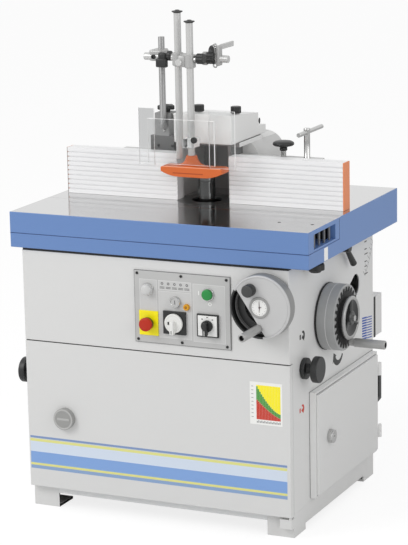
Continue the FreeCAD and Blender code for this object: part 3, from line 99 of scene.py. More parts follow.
# %% [markdown]
# ## Light, floor and background
# The photograph is a studio shot on white. A pale world gives soft light from all round, one large lamp from the
# upper left models the faces, and a weaker one from the right opens the shadows. Rays from the camera, and those
# that are mirrored or pass through glass, see a white world. All others see the plain studio level, because a white
# world for every ray would wash the shading out.


# %% Colours and the node helper
def colour(code, alpha=1.0):
    """An sRGB hex colour as linear numbers."""
    channels = [int(code[i:i + 2], 16) / 255 for i in (1, 3, 5)]
    return [c / 12.92 if c <= 0.04045 else ((c + 0.055) / 1.055) ** 2.4 for c in channels] + [alpha]


def add(tree, kind, settings=None, **inputs):
    """A node with its settings; an input is a value, or a socket to link from."""
    item = tree.nodes.new(kind)
    for name, value in (settings or {}).items():
        setattr(item, name, value)
    for name, value in inputs.items():
        socket = item.inputs[int(name[1:])] if name[1:].isdigit() else item.inputs[name.replace("_", " ")]
        if isinstance(value, bpy.types.NodeSocket):
            tree.links.new(value, socket)
        else:
            socket.default_value = value
    return item


def bare_tree(owner):
    """The emptied node tree of a world or a material."""
    owner.use_nodes = True
    owner.node_tree.nodes.clear()
    return owner.node_tree


print("half grey as linear numbers:", [round(channel, 3) for channel in colour("#808080")])

# %% Studio light
STUDIO_LEVEL, WHITE = 0.62, colour("#FFFFFF")
LAMPS = {"key": ((-2.6, -3.4, 3.6), 2.6, 95), "fill": ((3.6, -1.6, 2.2), 2.2, 28)}  # place and size in m, watts
LAMP_AIM = Vector((0, 0, 0.6))
scene.world = bpy.data.worlds.new("studio")
tree = bare_tree(scene.world)
rays = add(tree, "ShaderNodeLightPath").outputs
larger = {"operation": "MAXIMUM"}
direct = add(tree, "ShaderNodeMath", larger, i0=rays["Is Camera Ray"], i1=rays["Is Transmission Ray"])
sees_white = add(tree, "ShaderNodeMath", larger, i0=direct.outputs[0], i1=rays["Is Glossy Ray"])
plain = add(tree, "ShaderNodeBackground", Color=WHITE, Strength=STUDIO_LEVEL)
white = add(tree, "ShaderNodeBackground", Color=WHITE, Strength=1.0)
mixed = add(tree, "ShaderNodeMixShader", i0=sees_white.outputs[0], i1=plain.outputs[0],
            i2=white.outputs[0])
add(tree, "ShaderNodeOutputWorld", Surface=mixed.outputs[0])

for name, (spot, size, power) in LAMPS.items():
    lamp = bpy.data.lights.new(name, "AREA")
    lamp.size = size
    lamp.energy = power
    stand = bpy.data.objects.new(name, lamp)
    stand.location = spot
    stand.rotation_euler = (Vector(spot) - LAMP_AIM).to_track_quat("Z", "Y").to_euler()
    scene.collection.objects.link(stand)
print("studio: world and", len(LAMPS), "lamps")

# %% Floor
FLOOR_SIZE, PAPER_GLOW, CAMERA_SHARE = 60, 1.1, 0.75
bm = bmesh.new()
bmesh.ops.create_grid(bm, x_segments=1, y_segments=1, size=FLOOR_SIZE / 2)
mesh = bpy.data.meshes.new("floor")
bm.to_mesh(mesh)
bm.free()
floor = bpy.data.objects.new("floor", mesh)
scene.collection.objects.link(floor)
paper = bpy.data.materials.new("backdrop paper")  # almost pure white, with only a soft shadow under the machine
tree = bare_tree(paper)
rays = add(tree, "ShaderNodeLightPath").outputs
matt = add(tree, "ShaderNodeBsdfDiffuse", Color=colour("#F4F4F4"))
glow = add(tree, "ShaderNodeEmission", Color=WHITE, Strength=PAPER_GLOW)
share = add(tree, "ShaderNodeMath", {"operation": "MULTIPLY"}, i0=rays["Is Camera Ray"], i1=CAMERA_SHARE)
mixed = add(tree, "ShaderNodeMixShader", i0=share.outputs[0], i1=matt.outputs[0], i2=glow.outputs[0])
add(tree, "ShaderNodeOutputMaterial", Surface=mixed.outputs[0])
mesh.materials.append(paper)
print("floor:", FLOOR_SIZE, "m wide")

# %% [markdown]
# ## Finishes
# Each finish is one material. Paint and moulded plastic are dielectric with a soft gloss; powder coat has a fine
# orange peel, drawn a little coarser than the real 0.8 mm so that it shows. Ground iron and turned steel are
# metals whose fine lines come from stretched noise. Noise is used, and no picture, because it has no seams and its
# spacing can be given in real millimetres.


# %% One function for plain finishes
def finish(name, code, roughness, metallic=0.0, ior=1.5, grain=None):
    """A finish with one colour and gloss; grain adds a fine bump: its spacing, depth and stretch, in real sizes."""
    material = bpy.data.materials.new(name)
    material.use_nodes = True
    tree = material.node_tree
    shader = tree.nodes["Principled BSDF"].inputs
    values = {"Base Color": colour(code), "Roughness": roughness, "Metallic": metallic}
    if not metallic:
        values["IOR"] = ior
    for socket, value in values.items():
        shader[socket].default_value = value
    material.diffuse_color = colour(code)
    if grain:
        spacing, depth, stretch = grain
        places = add(tree, "ShaderNodeTexCoord").outputs["Object"]
        drawn = add(tree, "ShaderNodeMapping", Vector=places, Scale=stretch).outputs[0]
        noise = add(tree, "ShaderNodeTexNoise", Vector=drawn, Scale=1 / (spacing * MM), Detail=2.0, Roughness=0.5)
        bump = add(tree, "ShaderNodeBump", Height=noise.outputs["Fac"], Distance=depth * MM, Strength=0.5)
        tree.links.new(bump.outputs[0], shader["Normal"])
    return material


EVEN = (1, 1, 1)
PEEL = (2.2, 0.05, EVEN)
MATERIALS_BEFORE = len(bpy.data.materials)
print("orange peel:", PEEL[0], "mm apart and", PEEL[1], "mm deep")

# %% Painted finishes
powder_grey = finish("powder coat light grey", "#D9D9D8", 0.42, grain=PEEL)  # pale sheets with a soft sheen
pale_powder_painted_light = finish("powder coat, painted light", "#EDEDEC", 0.42, grain=PEEL)  # painted light: a lighter copy of the grey coat for the hood and shaded faces of the housing
powder_mid = finish("powder coat mid grey", "#B9B9B8", 0.40, grain=PEEL)  # a plain grey box on the motor
duct_grey = finish("painted sheet duct, light grey", "#D2D2D1", 0.42, grain=PEEL)  # a shade below the sheets
enamel_blue = finish("blue enamel on cast iron", "#6788BE", 0.38, grain=(4.0, 0.06, EVEN))  # clear, calm blue
hammer_grey = finish("dark grey hammer paint", "#7E7F7F", 0.45, grain=(3.0, 0.12, EVEN))  # dimpled dark grey
drum_grey = finish("cast aluminium, painted grey", "#A2A3A3", 0.40, grain=(3.0, 0.05, EVEN))  # a calm grey casting
cast_grey = finish("painted casting, mid grey", "#979797", 0.42, grain=(3.0, 0.08, EVEN))  # a rougher grey casting
motor_enamel = finish("motor enamel, blue grey", "#59636E", 0.45, grain=(3.0, 0.08, EVEN))  # cool and dull
wheel_grey = finish("grey enamel", "#C6C6C6", 0.38)  # the smooth, light face of the wheel
rim_grey = finish("grey enamel, deeper", "#8C8C8B", 0.38)  # sets the wheel's flank off from its face
dark_inside = finish("unlit dark paint", "#141414", 0.7)  # deep shade in holes and hollows
signal_yellow = finish("yellow enamel plate", "#FFF000", 0.42)  # the strong yellow behind the stop button
print("painted finishes:", len(bpy.data.materials) - MATERIALS_BEFORE)

# %% Metals, plastics and rubber
LINES_ALONG_X, LINES_ROUND = (1.5, 0.03, (1, 30, 30)), (0.9, 0.02, (1, 1, 60))
anodised = finish("anodised aluminium extrusion", "#F5F5F6", 0.36, 0.05, grain=LINES_ALONG_X)  # satin, near white
turned_steel = finish("turned steel", "#8D8E8E", 0.28, 1.0, grain=LINES_ROUND)  # fine rings left by the lathe
tube_grey = finish("drawn aluminium tube", "#CDCDCC", 0.34, 0.35)  # a broad soft highlight down the tube
post_steel = finish("plain steel post", "#989898", 0.35, 0.6)  # darker than the tubes
bright_steel = finish("ground steel bar", "#BDBDBC", 0.22, 1.0)  # a clear mirror of its surroundings
dark_steel = finish("blackened steel", "#3C3D3D", 0.35, 0.9)  # dark, with a dull glint
collar_steel = finish("polished black steel", "#5C5D5D", 0.14, 0.9)  # dark, with sharp bright streaks
lock_silver = finish("satin chrome", "#C4C4C3", 0.26, 0.9)  # a bright ring round a control
brass = finish("turned brass", "#E4A630", 0.28, 0.6)  # one warm dot on the grey plate
black_plastic = finish("moulded black ABS", "#232424", 0.42, grain=(2.0, 0.03, EVEN))  # soft black with a fine grain
ring_black = finish("matt black moulding", "#101011", 0.6)  # black without any glint
signal_red = finish("moulded red plastic", "#B82A12", 0.34, ior=1.4)  # a deep red with a small highlight
signal_green = finish("moulded green plastic", "#1F8C40", 0.30)  # a clear green button
shoe_orange = finish("moulded orange plastic", "#DA6A2B", 0.36)  # the one bright colour above the table
shoe_painted_highlight = finish("moulded orange plastic, painted highlight", "#F6B694", 0.4)  # painted highlight: a light line along the top front edge
shoe_line = finish("moulded orange plastic, groove", "#B14A18", 0.5)  # a darker line along the shoe
cap_orange = finish("moulded pale orange cap", "#E58A58", 0.4)  # paler than the shoe
cap_edge = finish("cut edge of the cap, grey", "#8A8380", 0.5)  # a grey line at the end of the fence
switch_white = finish("moulded white plastic", "#E9E9E6", 0.36)  # a warm white switch
lamp_white = finish("opal lamp cap", "#CDCDCC", 0.2)  # milky and glossy
contact_grey = finish("moulded grey contact block", "#B8BCC0", 0.5)  # cool and matt
dull_black_and_gap_shade = finish("dull black and painted gap shade", "#1A1A1B", 0.6)  # painted shadow in the cabinet's gaps, and a dull black for small dark parts
belt_rubber = finish("ribbed rubber belt", "#191919", 0.7)  # dull black
print("finishes so far:", len(bpy.data.materials) - MATERIALS_BEFORE)

# %% [markdown]
# The table top is ground cast iron. Grinding leaves long fine lines and a soft mirror, so the fence shows in it.
# The real lines are about 0.3 mm apart, too fine for the picture, so they are drawn 1.5 mm apart. The lines change
# the gloss and not the height, which keeps the mirror calm. The clear sheet bends light less than real
# polycarbonate does, because its thin wings would turn grey otherwise.

# %% Ground iron and clear sheet
GRINDING_MM, GRINDING_STRETCH, GRINDING_GLOSS = 1.5, (0.02, 1, 1), (0.09, 0.14)
ground_iron = finish("ground cast iron", "#C6C6C6", 0.12, 1.0)  # a soft mirror that shows fence and shoe
tree = ground_iron.node_tree
places = add(tree, "ShaderNodeTexCoord").outputs["Object"]
lines = add(tree, "ShaderNodeMapping", Vector=places, Scale=GRINDING_STRETCH).outputs[0]
grain = add(tree, "ShaderNodeTexNoise", Vector=lines, Scale=1 / (GRINDING_MM * MM), Detail=3.0).outputs["Fac"]
gloss = add(tree, "ShaderNodeMapRange", Value=grain, To_Min=GRINDING_GLOSS[0], To_Max=GRINDING_GLOSS[1])
tree.links.new(gloss.outputs[0], tree.nodes["Principled BSDF"].inputs["Roughness"])

clear_sheet = finish("clear polycarbonate", "#FDFEFE", 0.03, ior=1.32)  # seen only by its edges and a faint shine
clear_sheet.node_tree.nodes["Principled BSDF"].inputs["Transmission Weight"].default_value = 1.0
print("ground iron and clear sheet added")

# %% [markdown]
# ## Modelling helpers
# A few short functions make most pieces. A block is a cube with rounded edges. A turned shape is a profile of radius
# and height that is spun, as on a lathe. A bar is a cylinder between two points, and an outline can be grown along a
# vector. Each could be modelled by hand, but here a size stays a number that can be read and changed. A finished
# piece is moved from millimetres to metres, gets its materials, rides on its CAD body and may stand for a CAD node.

# %% Bookkeeping of what was added
AXES = {"x": Matrix.Rotation(pi / 2, 3, "Y"), "z": Matrix.Identity(3), "-y": Matrix.Rotation(pi / 2, 3, "X")}
ROUND = {"affect": "EDGES", "offset_type": "OFFSET", "profile": 0.5, "material": -1, "clamp_overlap": True}
ORIGIN = (0, 0, 0)


def kept(bm):
    """The vertices and faces that a bmesh holds before something is added."""
    return set(bm.verts), set(bm.faces)


def new_since(bm, before):
    """The vertices added since then."""
    return [vert for vert in bm.verts if vert not in before[0]]


def paint(bm, before, index):
    """Gives the faces added since then their material index."""
    for face in bm.faces:
        if face not in before[1]:
            face.material_index = index


def repaint(bm, index, rule):
    """Gives a material index to the faces that a rule picks by the face and its middle."""
    for face in bm.faces:
        if rule(face, face.calc_center_median()):
            face.material_index = index


def place(bm, before, turn, shift):
    """Turns and moves the vertices added since then."""
    made = new_since(bm, before)
    bmesh.ops.rotate(bm, cent=ORIGIN, matrix=turn, verts=made)
    bmesh.ops.translate(bm, vec=shift, verts=made)


print("axes:", ", ".join(AXES))


# %% Block and turned shape
def block(bm, low, high, rounding=0.0, steps=2, index=0):
    """A box between two corners with rounded edges."""
    before = kept(bm)
    verts = bmesh.ops.create_cube(bm, size=1)["verts"]
    low, high = Vector(low), Vector(high)
    bmesh.ops.scale(bm, vec=high - low, verts=verts)
    bmesh.ops.translate(bm, vec=(low + high) / 2, verts=verts)
    if rounding:
        edges = list({edge for vert in verts for edge in vert.link_edges})
        bmesh.ops.bevel(bm, geom=edges, offset=rounding, segments=steps, **ROUND)
    paint(bm, before, index)


def turned(bm, profile, axis, centre, steps=64, index=0):
    """A lathe shape: points of radius and height, spun about an axis through a centre."""
    before = kept(bm)
    verts = [bm.verts.new((radius, 0, height)) for radius, height in profile]
    edges = [bm.edges.new(pair) for pair in zip(verts, verts[1:])]
    bmesh.ops.spin(bm, geom=verts + edges, cent=ORIGIN, axis=(0, 0, 1), angle=tau, steps=steps, use_merge=True)
    bmesh.ops.remove_doubles(bm, verts=new_since(bm, before), dist=0.001)
    place(bm, before, AXES[axis], centre)
    paint(bm, before, index)


print("block and turned shape ready")


# %% Profiles, bar and grown outline
def disc(radius, low, high, edge=1.0):
    """The profile of a plain round disc with broken edges."""
    rim = radius - edge
    return [(0, low), (rim, low), (radius, low + edge), (radius, high - edge), (rim, high), (0, high)]


def ring(inner, outer, low, high, edge=1.0):
    """The profile of a round ring with broken outer edges."""
    rim = disc(outer, low, high, edge)[1:-1]
    return [(inner, low)] + rim + [(inner, high), (inner, low)]


def wire(radius, thickness, height, steps):
    """The profile of a round wire that is bent to a ring."""
    angles = [tau * i / steps for i in range(steps + 1)]
    return [(radius + thickness * cos(a), height + thickness * sin(a)) for a in angles]


def bar(bm, start, end, radius, steps=24, index=0, end_radius=None):
    """A round bar between two points, with a broken edge at each end."""
    before = kept(bm)
    start, way = Vector(start), Vector(end) - Vector(start)
    tip = radius if end_radius is None else end_radius
    edge = min(radius, tip) * 0.12
    profile = [(0, 0), (radius - edge, 0), (radius, edge), (tip, way.length - edge), (tip - edge, way.length),
               (0, way.length)]
    turned(bm, profile, "z", ORIGIN, steps, index)
    place(bm, before, way.to_track_quat("Z", "Y").to_matrix(), start)


def grow(bm, outline, shift, index=0):
    """A solid from a loop of points, pushed along a vector."""
    before = kept(bm)
    base = bm.faces.new([bm.verts.new(point) for point in outline])
    grown = bmesh.ops.extrude_face_region(bm, geom=[base])["geom"]
    bmesh.ops.translate(bm, vec=shift, verts=[item for item in grown if isinstance(item, bmesh.types.BMVert)])
    paint(bm, before, index)


print("profiles, bar and grown outline ready")

# %% Finished piece
FLAT_SHARE = 0.15  # a face whose smooth neighbours are all smaller than this share of it is shaded flat
SMOOTH_FROM = radians(1)
BODY_OF = {node: body for body, nodes in frame["record"]["behaviour"]["bodies"].items() for node in nodes}


def piece(bm, name, finishes, body="machine_frame", node=None, smooth=40):
    """Finishes a bmesh: metres, outward faces, materials, its CAD body and the node that it stands for."""
    bmesh.ops.recalc_face_normals(bm, faces=bm.faces)
    bmesh.ops.scale(bm, vec=(MM, MM, MM), verts=bm.verts)
    curved = []
    for face in bm.faces:
        near = [other.calc_area() for edge in face.edges for other in edge.link_faces
                if other is not face and SMOOTH_FROM < edge.calc_face_angle(pi) < radians(smooth)]
        curved.append(bool(near) and max(near) > FLAT_SHARE * face.calc_area())
    mesh = bpy.data.meshes.new(name)
    bm.to_mesh(mesh)
    bm.free()
    for material in finishes if isinstance(finishes, list) else [finishes]:
        mesh.materials.append(material)
    mesh.set_sharp_from_angle(angle=radians(smooth))
    mesh.polygons.foreach_set("use_smooth", curved)
    made = bpy.data.objects.new(name, mesh)
    scene.collection.objects.link(made)
    if node:
        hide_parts(node)
    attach(made, BODY_OF[node] if node else body)


print("nodes that have a body:", len(BODY_OF))


# %% Places of CAD nodes
def span(node):
    """Lowest and highest corner of a CAD node in millimetres."""
    low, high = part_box(node)
    return Vector(low) / MM, Vector(high) / MM


def middle(node):
    """The middle of a CAD node's box in millimetres."""
    low, high = span(node)
    return (low + high) / 2


def along(centre, axis):
    """A function that gives points on a line through a centre, by their place along one axis."""
    def point(value):
        return Vector(value if name == axis else old for name, old in zip("xyz", centre))
    return point


print("middle of the table in mm:", [round(value) for value in middle("main_table")])

# %% [markdown]
# ## Cast and folded pieces that keep their CAD shape
# Real castings and folded sheets have no knife edges. They could be modelled again, but the CAD shape is right
# already. So a copy of a CAD node is merged, its flat faces are joined again, and its sharp edges are rounded by a
# small radius that suits the piece. A rule may pick which edges are rounded, and another may pick a second finish
# for some faces, such as the ground top of the painted table.


# %% Rounded copies of CAD nodes
def rounded(node, finishes, radius, edges=None, second=None, steps=2, sharp=35, smooth=40, split=None):
    """A copy of a CAD node with rounded edges; second gives the finish of a face, split a height to part faces."""
    bm = bmesh.new()
    bm.from_mesh(frame["nodes"][node].data)
    bmesh.ops.scale(bm, vec=(1 / MM,) * 3, verts=bm.verts)
    bmesh.ops.remove_doubles(bm, verts=bm.verts, dist=0.005)
    bmesh.ops.dissolve_limit(bm, angle_limit=radians(0.5), verts=bm.verts, edges=bm.edges)
    chosen = [edge for edge in bm.edges if edge.is_manifold and edge.calc_face_angle(0) > radians(sharp)
              and (edges is None or edges(edge.verts[0].co, edge.verts[1].co))]
    bmesh.ops.bevel(bm, geom=chosen, offset=radius, segments=steps, **ROUND)
    if split:
        everything = bm.verts[:] + bm.edges[:] + bm.faces[:]
        bmesh.ops.bisect_plane(bm, geom=everything, plane_co=(0, 0, split), plane_no=(0, 0, 1))
    for face in bm.faces:
        face.material_index = int(second(face)) if second else 0
    piece(bm, f"{node}_finished", finishes, node=node, smooth=smooth)


EDGE_GAP = 0.5


def outer_edges(node):
    """A rule that picks the edges on the outside of a node's box."""
    low, high = span(node)

    def rule(a, b):
        on_side = [abs(p[i] - limit[i]) < EDGE_GAP for p in (a, b) for i in range(3) for limit in (low, high)]
        return sum(on_side[:6]) >= 2 and sum(on_side[6:]) >= 2
    return rule


def front_edges(node):
    """A rule that picks the edges of a pan that lie in its front face."""
    face_y = span(node)[0].y
    return lambda a, b: abs(a.y - face_y) < EDGE_GAP and abs(b.y - face_y) < EDGE_GAP


print("edge rules ready")

# %% Table
TABLE_LOW, TABLE_HIGH = span("main_table")
TABLE_TOP = TABLE_HIGH.z
SPINDLE = middle("spindle")
JOINT_Y = span("pull_out_table")[1].y
OPENING_R, JOINT_HALF, JOINT_DEPTH, HOLE_DEPTH = 150.0, 4.0, 2.2, 14.0


def is_top(face):
    """Ground faces at table height and along the joint; holes in the top are dark inside."""
    centre, rise = face.calc_center_median(), face.normal.z
    at_joint = abs(centre.y - JOINT_Y) < JOINT_HALF and centre.z > TABLE_TOP - JOINT_DEPTH
    if rise > 0.99 and centre.z > TABLE_TOP - 0.2 or at_joint and rise > 0.2:
        return 1
    in_opening = hypot(centre.x - SPINDLE.x, centre.y - SPINDLE.y) < OPENING_R
    inside = TABLE_LOW.x + 30 < centre.x < TABLE_HIGH.x - 20 and centre.y > TABLE_LOW.y + 30
    return 2 if in_opening or (inside and centre.z > TABLE_TOP - HOLE_DEPTH and abs(rise) < 0.2) else 0


for node, radius in (("main_table", 2.0), ("pull_out_table", 1.6)):
    rounded(node, [enamel_blue, ground_iron, dark_inside], radius, outer_edges(node), is_top)
rounded("table_ring", turned_steel, 0.8)
print(f"table: ground top at {TABLE_TOP:.0f} mm")

# %% Cabinet sheets and electrical box
INNER_SKIN, BASE_SIDE, BASE_TOP, BASE_FLOOR = 417, 419, 66, 60
fold_powder_painted_light = finish("powder coat, painted light on folds", "#ECECEB", 0.42)  # painted light: lighter faces where the folds look forward or up


def base_inside(face):
    """Painted shade: dark on the inner side of the side walls and under the floor."""
    centre, normal = face.calc_center_median(), face.normal
    inward = normal.x * centre.x < -200 and abs(centre.x) < BASE_SIDE
    return centre.z < BASE_TOP and (inward or normal.z < -0.7 and centre.z > BASE_FLOOR)


def lit_fold_rule(face):
    """The narrow folds of the electrical box that look forward or up; they get painted light."""
    return face.normal.y < -0.5 or face.normal.z > 0.5


for node in ("front_upper_panel", "lower_door"):
    rounded(node, powder_grey, 4.0, front_edges(node), steps=3)
rounded("cabinet_rear", powder_grey, 1.0)
rounded("cabinet_right_side", [powder_grey, hammer_grey], 0.6,
        second=lambda face: face.calc_center_median().x < INNER_SKIN)
rounded("cabinet_base", [powder_grey, dark_inside], 0.8, second=base_inside)
for node, radius in (("electrical_box", 1.5), ("electrical_door", 2.0)):
    rounded(node, [powder_grey, fold_powder_painted_light], radius, second=lit_fold_rule, sharp=60)
print("cabinet sheets and electrical box rounded")

# %% Fence housing, guard post and inner castings
WALL_LEFT, WALL_RIGHT, LID_LOW = -84.0, 85.0, 1057.0
CHUTE_START, HOUSING_BACK = 118.0, 200.0
POST_X, POST_Y, POST_R = -137.0, 36.0, 9.5
HOLDER_STEP, HOLDER_TOP = 1078.0, 1147.0
holder_dark = finish("painted casting, dark grey", "#6A6A6A", 0.45, grain=(3.0, 0.08, EVEN))  # the darker lower block


def housing_finish(face):
    """Dark housing, a light duct and carriers, and a pale rim on its lid. Inner walls that face +X or -Y are lighter:
    painted light in the shade of the hood. The front face of the duct is pale: painted light.
    """
    centre = face.calc_center_median()
    if centre.z > TABLE_TOP + 1 and WALL_LEFT + 5 < centre.x < WALL_RIGHT - 5 and centre.y < HOUSING_BACK - 5:
        # Painted light: the inner walls that face +X or -Y get lighter finishes in the shade of the hood.
        return 2 if face.normal.x > 0.9 else 3 if face.normal.y < -0.9 else 0
    beside = centre.x > WALL_RIGHT + 0.5 or centre.x < WALL_LEFT - 0.5
    # Painted light: the duct's front face gets the pale finish.
    if centre.z > LID_LOW - 1 and centre.x > WALL_RIGHT + 1 or beside and abs(centre.y - CHUTE_START) < 1:
        return 2
    return beside or centre.y > HOUSING_BACK + 0.5


def post_finish(face):
    """Steel post, mid grey upper block and dark lower block of the guard holder."""
    centre = face.calc_center_median()
    near_post = hypot(centre.x - POST_X, centre.y - POST_Y) < POST_R + 4 and centre.y < POST_Y + POST_R - 0.5
    if near_post or centre.z > HOLDER_TOP:
        return 1
    return 2 if centre.z > HOLDER_STEP else 0


rounded("fence_housing", [hammer_grey, duct_grey, pale_powder_painted_light, cast_grey], 1.5, second=housing_finish, sharp=60)
# The hood's pale coat is painted light.
rounded("hood", pale_powder_painted_light, 3.0, outer_edges("hood"), steps=3)
rounded("guard_post", [holder_dark, post_steel, cast_grey], 2.0, second=post_finish, sharp=60, split=HOLDER_STEP)
rounded("spindle_collars", collar_steel, 1.6)
for node in ("tilt_carriage", "tilt_quadrants"):
    rounded(node, hammer_grey, 1.0, sharp=60)
print("castings rounded")

# %% CAD nodes that keep their shape and get a finish
PLAIN_NODES = {"cabinet_left_side": powder_grey, "pull_out_rods": bright_steel, "quill": turned_steel,
               "quill_bearings": bright_steel, "spindle": dark_steel, "motor_shaft": turned_steel,
               "spindle_pulley": turned_steel, "drive_belt": belt_rubber, "height_shaft": bright_steel,
               "tilt_worm_shaft": bright_steel}
for node, material in PLAIN_NODES.items():
    for slot in frame["nodes"][node].material_slots:
        slot.material = material
print("plain CAD nodes with a finish:", len(PLAIN_NODES))

# %% [markdown]
# ## Fence plates
# The two fence plates are extrusions: a smooth back and a front with shallow grooves that run their whole length.
# Grooves could be cut from a bar one by one. Drawing the section once, as a loop of points, and growing it along the
# plate gives clean edges in one step, as the real die does. An orange cap closes the outer end.

# %% Grooved fence plates
GROOVES, GROOVE_WIDTH, GROOVE_DEPTH = 9, 3.6, 3.6
FENCE_LIFT, CAP = 0.4, {"left": 2.0, "right": 4.0}


def fence_plate(hand):
    """One fence plate with its grooves and its orange outer cap."""
    node = f"fence_plate_{hand}"
    low, high = span(node)
    low.z += FENCE_LIFT
    start, end = (low.x + CAP[hand], high.x) if hand == "left" else (low.x, high.x - CAP[hand])
    section = [(high.y, low.z), (high.y, high.z), (low.y, high.z)]
    pitch = (high.z - low.z) / (GROOVES + 1)
    for i in range(GROOVES, 0, -1):
        over, under = (low.z + i * pitch + half * GROOVE_WIDTH for half in (0.5, -0.5))
        bottom = low.y + GROOVE_DEPTH
        section += [(low.y, over), (bottom, over), (bottom, under), (low.y, under)]
    section.append((low.y, low.z))
    bm = bmesh.new()
    grow(bm, [(start, y, z) for y, z in section], (end - start, 0, 0))
    cap_ends = (low.x, start) if hand == "left" else (end, high.x)
    block(bm, (cap_ends[0], low.y, low.z), (cap_ends[1], high.y, high.z), 0.3, index=1)
    if hand == "left":
        repaint(bm, 2, lambda face, centre: face.material_index == 1 and face.normal.y < -0.3)
    piece(bm, f"fence_face_{hand}", [anodised, cap_orange, cap_edge], node=node)


for hand in CAP:
    fence_plate(hand)
print("fence plates:", GROOVES, "grooves each")

# %% [markdown]
# ## Pressure shoe and its bars
# The shoe is a moulded orange ski that presses the work down: its ends turn up, and a flared boss takes the bar.
# Its side view is drawn as a loop of points and grown across, because all its curves lie in that view. The two bars
# are drawn tubes with black caps.

# %% Shoe
SHOE_LOW, SHOE_HIGH = span("pressure_shoe")
SHOE_LONG, SHOE_WIDE, SHOE_TALL = SHOE_HIGH - SHOE_LOW
BAR_X, BAR_Y, _ = middle("shoe_bar")
SHOE_TOP, BOSS_BORE, BOSS_FLAT = 30.0, 10.9, 0.55
CURL = [(0, 15), (10, 10), (22, 5.6), (35, 2.3), (47, 0.6), (58, 0)]
outline = CURL + [(SHOE_LONG - x, z) for x, z in reversed(CURL)]
outline += [(SHOE_LONG, SHOE_TOP - 3), (SHOE_LONG - 6, SHOE_TOP), (6, SHOE_TOP), (0, SHOE_TOP - 3)]
bm = bmesh.new()
grow(bm, [SHOE_LOW + Vector((x, 0, z)) for x, z in outline], (0, SHOE_WIDE, 0))
sharp = [edge for edge in bm.edges if edge.is_manifold and edge.calc_face_angle(0) > radians(50)]
bmesh.ops.bevel(bm, geom=sharp, offset=2.0, segments=2, **ROUND)
before = kept(bm)
boss = [(BOSS_BORE, SHOE_TOP - 6), (50, SHOE_TOP - 6), (49, SHOE_TOP), (36, SHOE_TOP + 4), (26, SHOE_TOP + 10),
        (19, SHOE_TOP + 20), (16.5, SHOE_TALL - 2), (15, SHOE_TALL), (BOSS_BORE, SHOE_TALL)]
turned(bm, boss, "z", (BAR_X, BAR_Y, SHOE_LOW.z), 56)
for vert in new_since(bm, before):
    share = min(1.0, max(0.0, (vert.co.z - SHOE_LOW.z - SHOE_TOP) / (SHOE_TALL - SHOE_TOP)))
    vert.co.y = BAR_Y + (vert.co.y - BAR_Y) * (BOSS_FLAT + (1 - BOSS_FLAT) * share)
# The first strip is a darker line along the shoe; the second is a painted highlight along its top front edge.
for low, high, index in (((40, -0.3, 10), (SHOE_LONG - 60, 1, 13), 1),
                         ((5, 0.4, SHOE_TOP - 1.6), (SHOE_LONG - 5, 2.4, SHOE_TOP + 0.2), 2)):
    block(bm, SHOE_LOW + Vector(low), SHOE_LOW + Vector(high), index=index)
piece(bm, "pressure_shoe_moulding", [shoe_orange, shoe_line, shoe_painted_highlight], node="pressure_shoe")
print(f"shoe: {SHOE_LONG:.0f} mm long")

# %% Bars with caps
TUBE_R, CAP_HEIGHT = 10.5, 9
TUBE_CAP = [(0, 0), (TUBE_R, 0), (16, 3), (16, 5.5), (8, 7), (5, CAP_HEIGHT), (0, CAP_HEIGHT)]
for node in ("shoe_bar", "rear_bar"):
    low, high = span(node)
    at = along(middle(node), "z")
    bm = bmesh.new()
    bar(bm, at(low.z), at(high.z - CAP_HEIGHT + 1), TUBE_R, 32)
    turned(bm, TUBE_CAP, "z", at(high.z - CAP_HEIGHT), 32, index=1)
    piece(bm, f"{node}_tube", [tube_grey, black_plastic], node=node)
print("two bars with caps made")

# %% [markdown]
# ## Drawing flat shapes
# Labels, stripes and dial marks are print or thin film on a face. A picture texture could carry them, but thin solids
# stay sharp from near and need no picture. Two functions take points on the front or on the right side of the machine
# and give them a small thickness. Another one makes the outline of a knob with lobes.

# %% Flat shapes
SIDE_X = span("cabinet_right_side")[1].x


def front(bm, points, level, index=0, thick=0.1):
    """A thin shape that looks forward, given as X and Z."""
    grow(bm, [(u, level, v) for u, v in points], (0, -thick, 0), index)


def side(bm, points, index=0, level=SIDE_X, thick=0.3):
    """A thin shape that looks to the right, given as Y and Z."""
    grow(bm, [(level, u, v) for u, v in points], (thick, 0, 0), index)


def patch(low, high):
    """The four corners of a rectangle."""
    return [(low[0], low[1]), (high[0], low[1]), (high[0], high[1]), (low[0], high[1])]


def mark(x, z, wide, tall):
    """The four corners of a rectangle round a middle, given by its half sizes."""
    return patch((x - wide, z - tall), (x + wide, z + tall))


def polar(centre, radius, angle):
    """A point at an angle and distance from a centre."""
    return centre[0] + radius * cos(angle), centre[1] + radius * sin(angle)


def circle(centre, radius, steps=24, start=0.0, end=tau):
    """Points on a circle or on an arc of it."""
    count = steps if end - start >= tau - 1e-6 else steps + 1
    return [polar(centre, radius, start + (end - start) * i / steps) for i in range(count)]


def arc(centre, inner, outer, start, end, steps=16):
    """A curved band between two angles."""
    return circle(centre, outer, steps, start, end) + circle(centre, inner, steps, start, end)[::-1]


print(f"flat shapes ready; the right side is at X {SIDE_X:.0f}")


# %% Lobed outlines
def lobed(bm, centre, radius, depth, lobes, low, high, axis="z", index=0, dome=2.0, steps=6):
    """A knob with lobes: a wavy outline, broken at both rims, that is extruded between two heights along an axis."""
    before = kept(bm)

    def wave(angle, inset, height):
        reach = radius - depth * (0.5 - 0.5 * cos(angle * lobes)) - inset
        return reach * cos(angle), reach * sin(angle), height

    size = lobes * steps
    base = bm.faces.new([bm.verts.new(wave(tau * i / size, dome, low)) for i in range(size)])
    face = base
    for inset, height in ((0, low + dome), (0, high - dome), (dome, high), (dome * 2.5, high + 0.01)):
        grown = bmesh.ops.extrude_face_region(bm, geom=[face])["geom"]
        if face is not base:
            bmesh.ops.delete(bm, geom=[face], context="FACES_ONLY")
        face = next(item for item in grown if isinstance(item, bmesh.types.BMFace))
        for vert in face.verts:
            vert.co = wave(atan2(vert.co.y, vert.co.x), inset, height)
    place(bm, before, AXES[axis], centre)
    paint(bm, before, index)


print("lobed outlines ready")
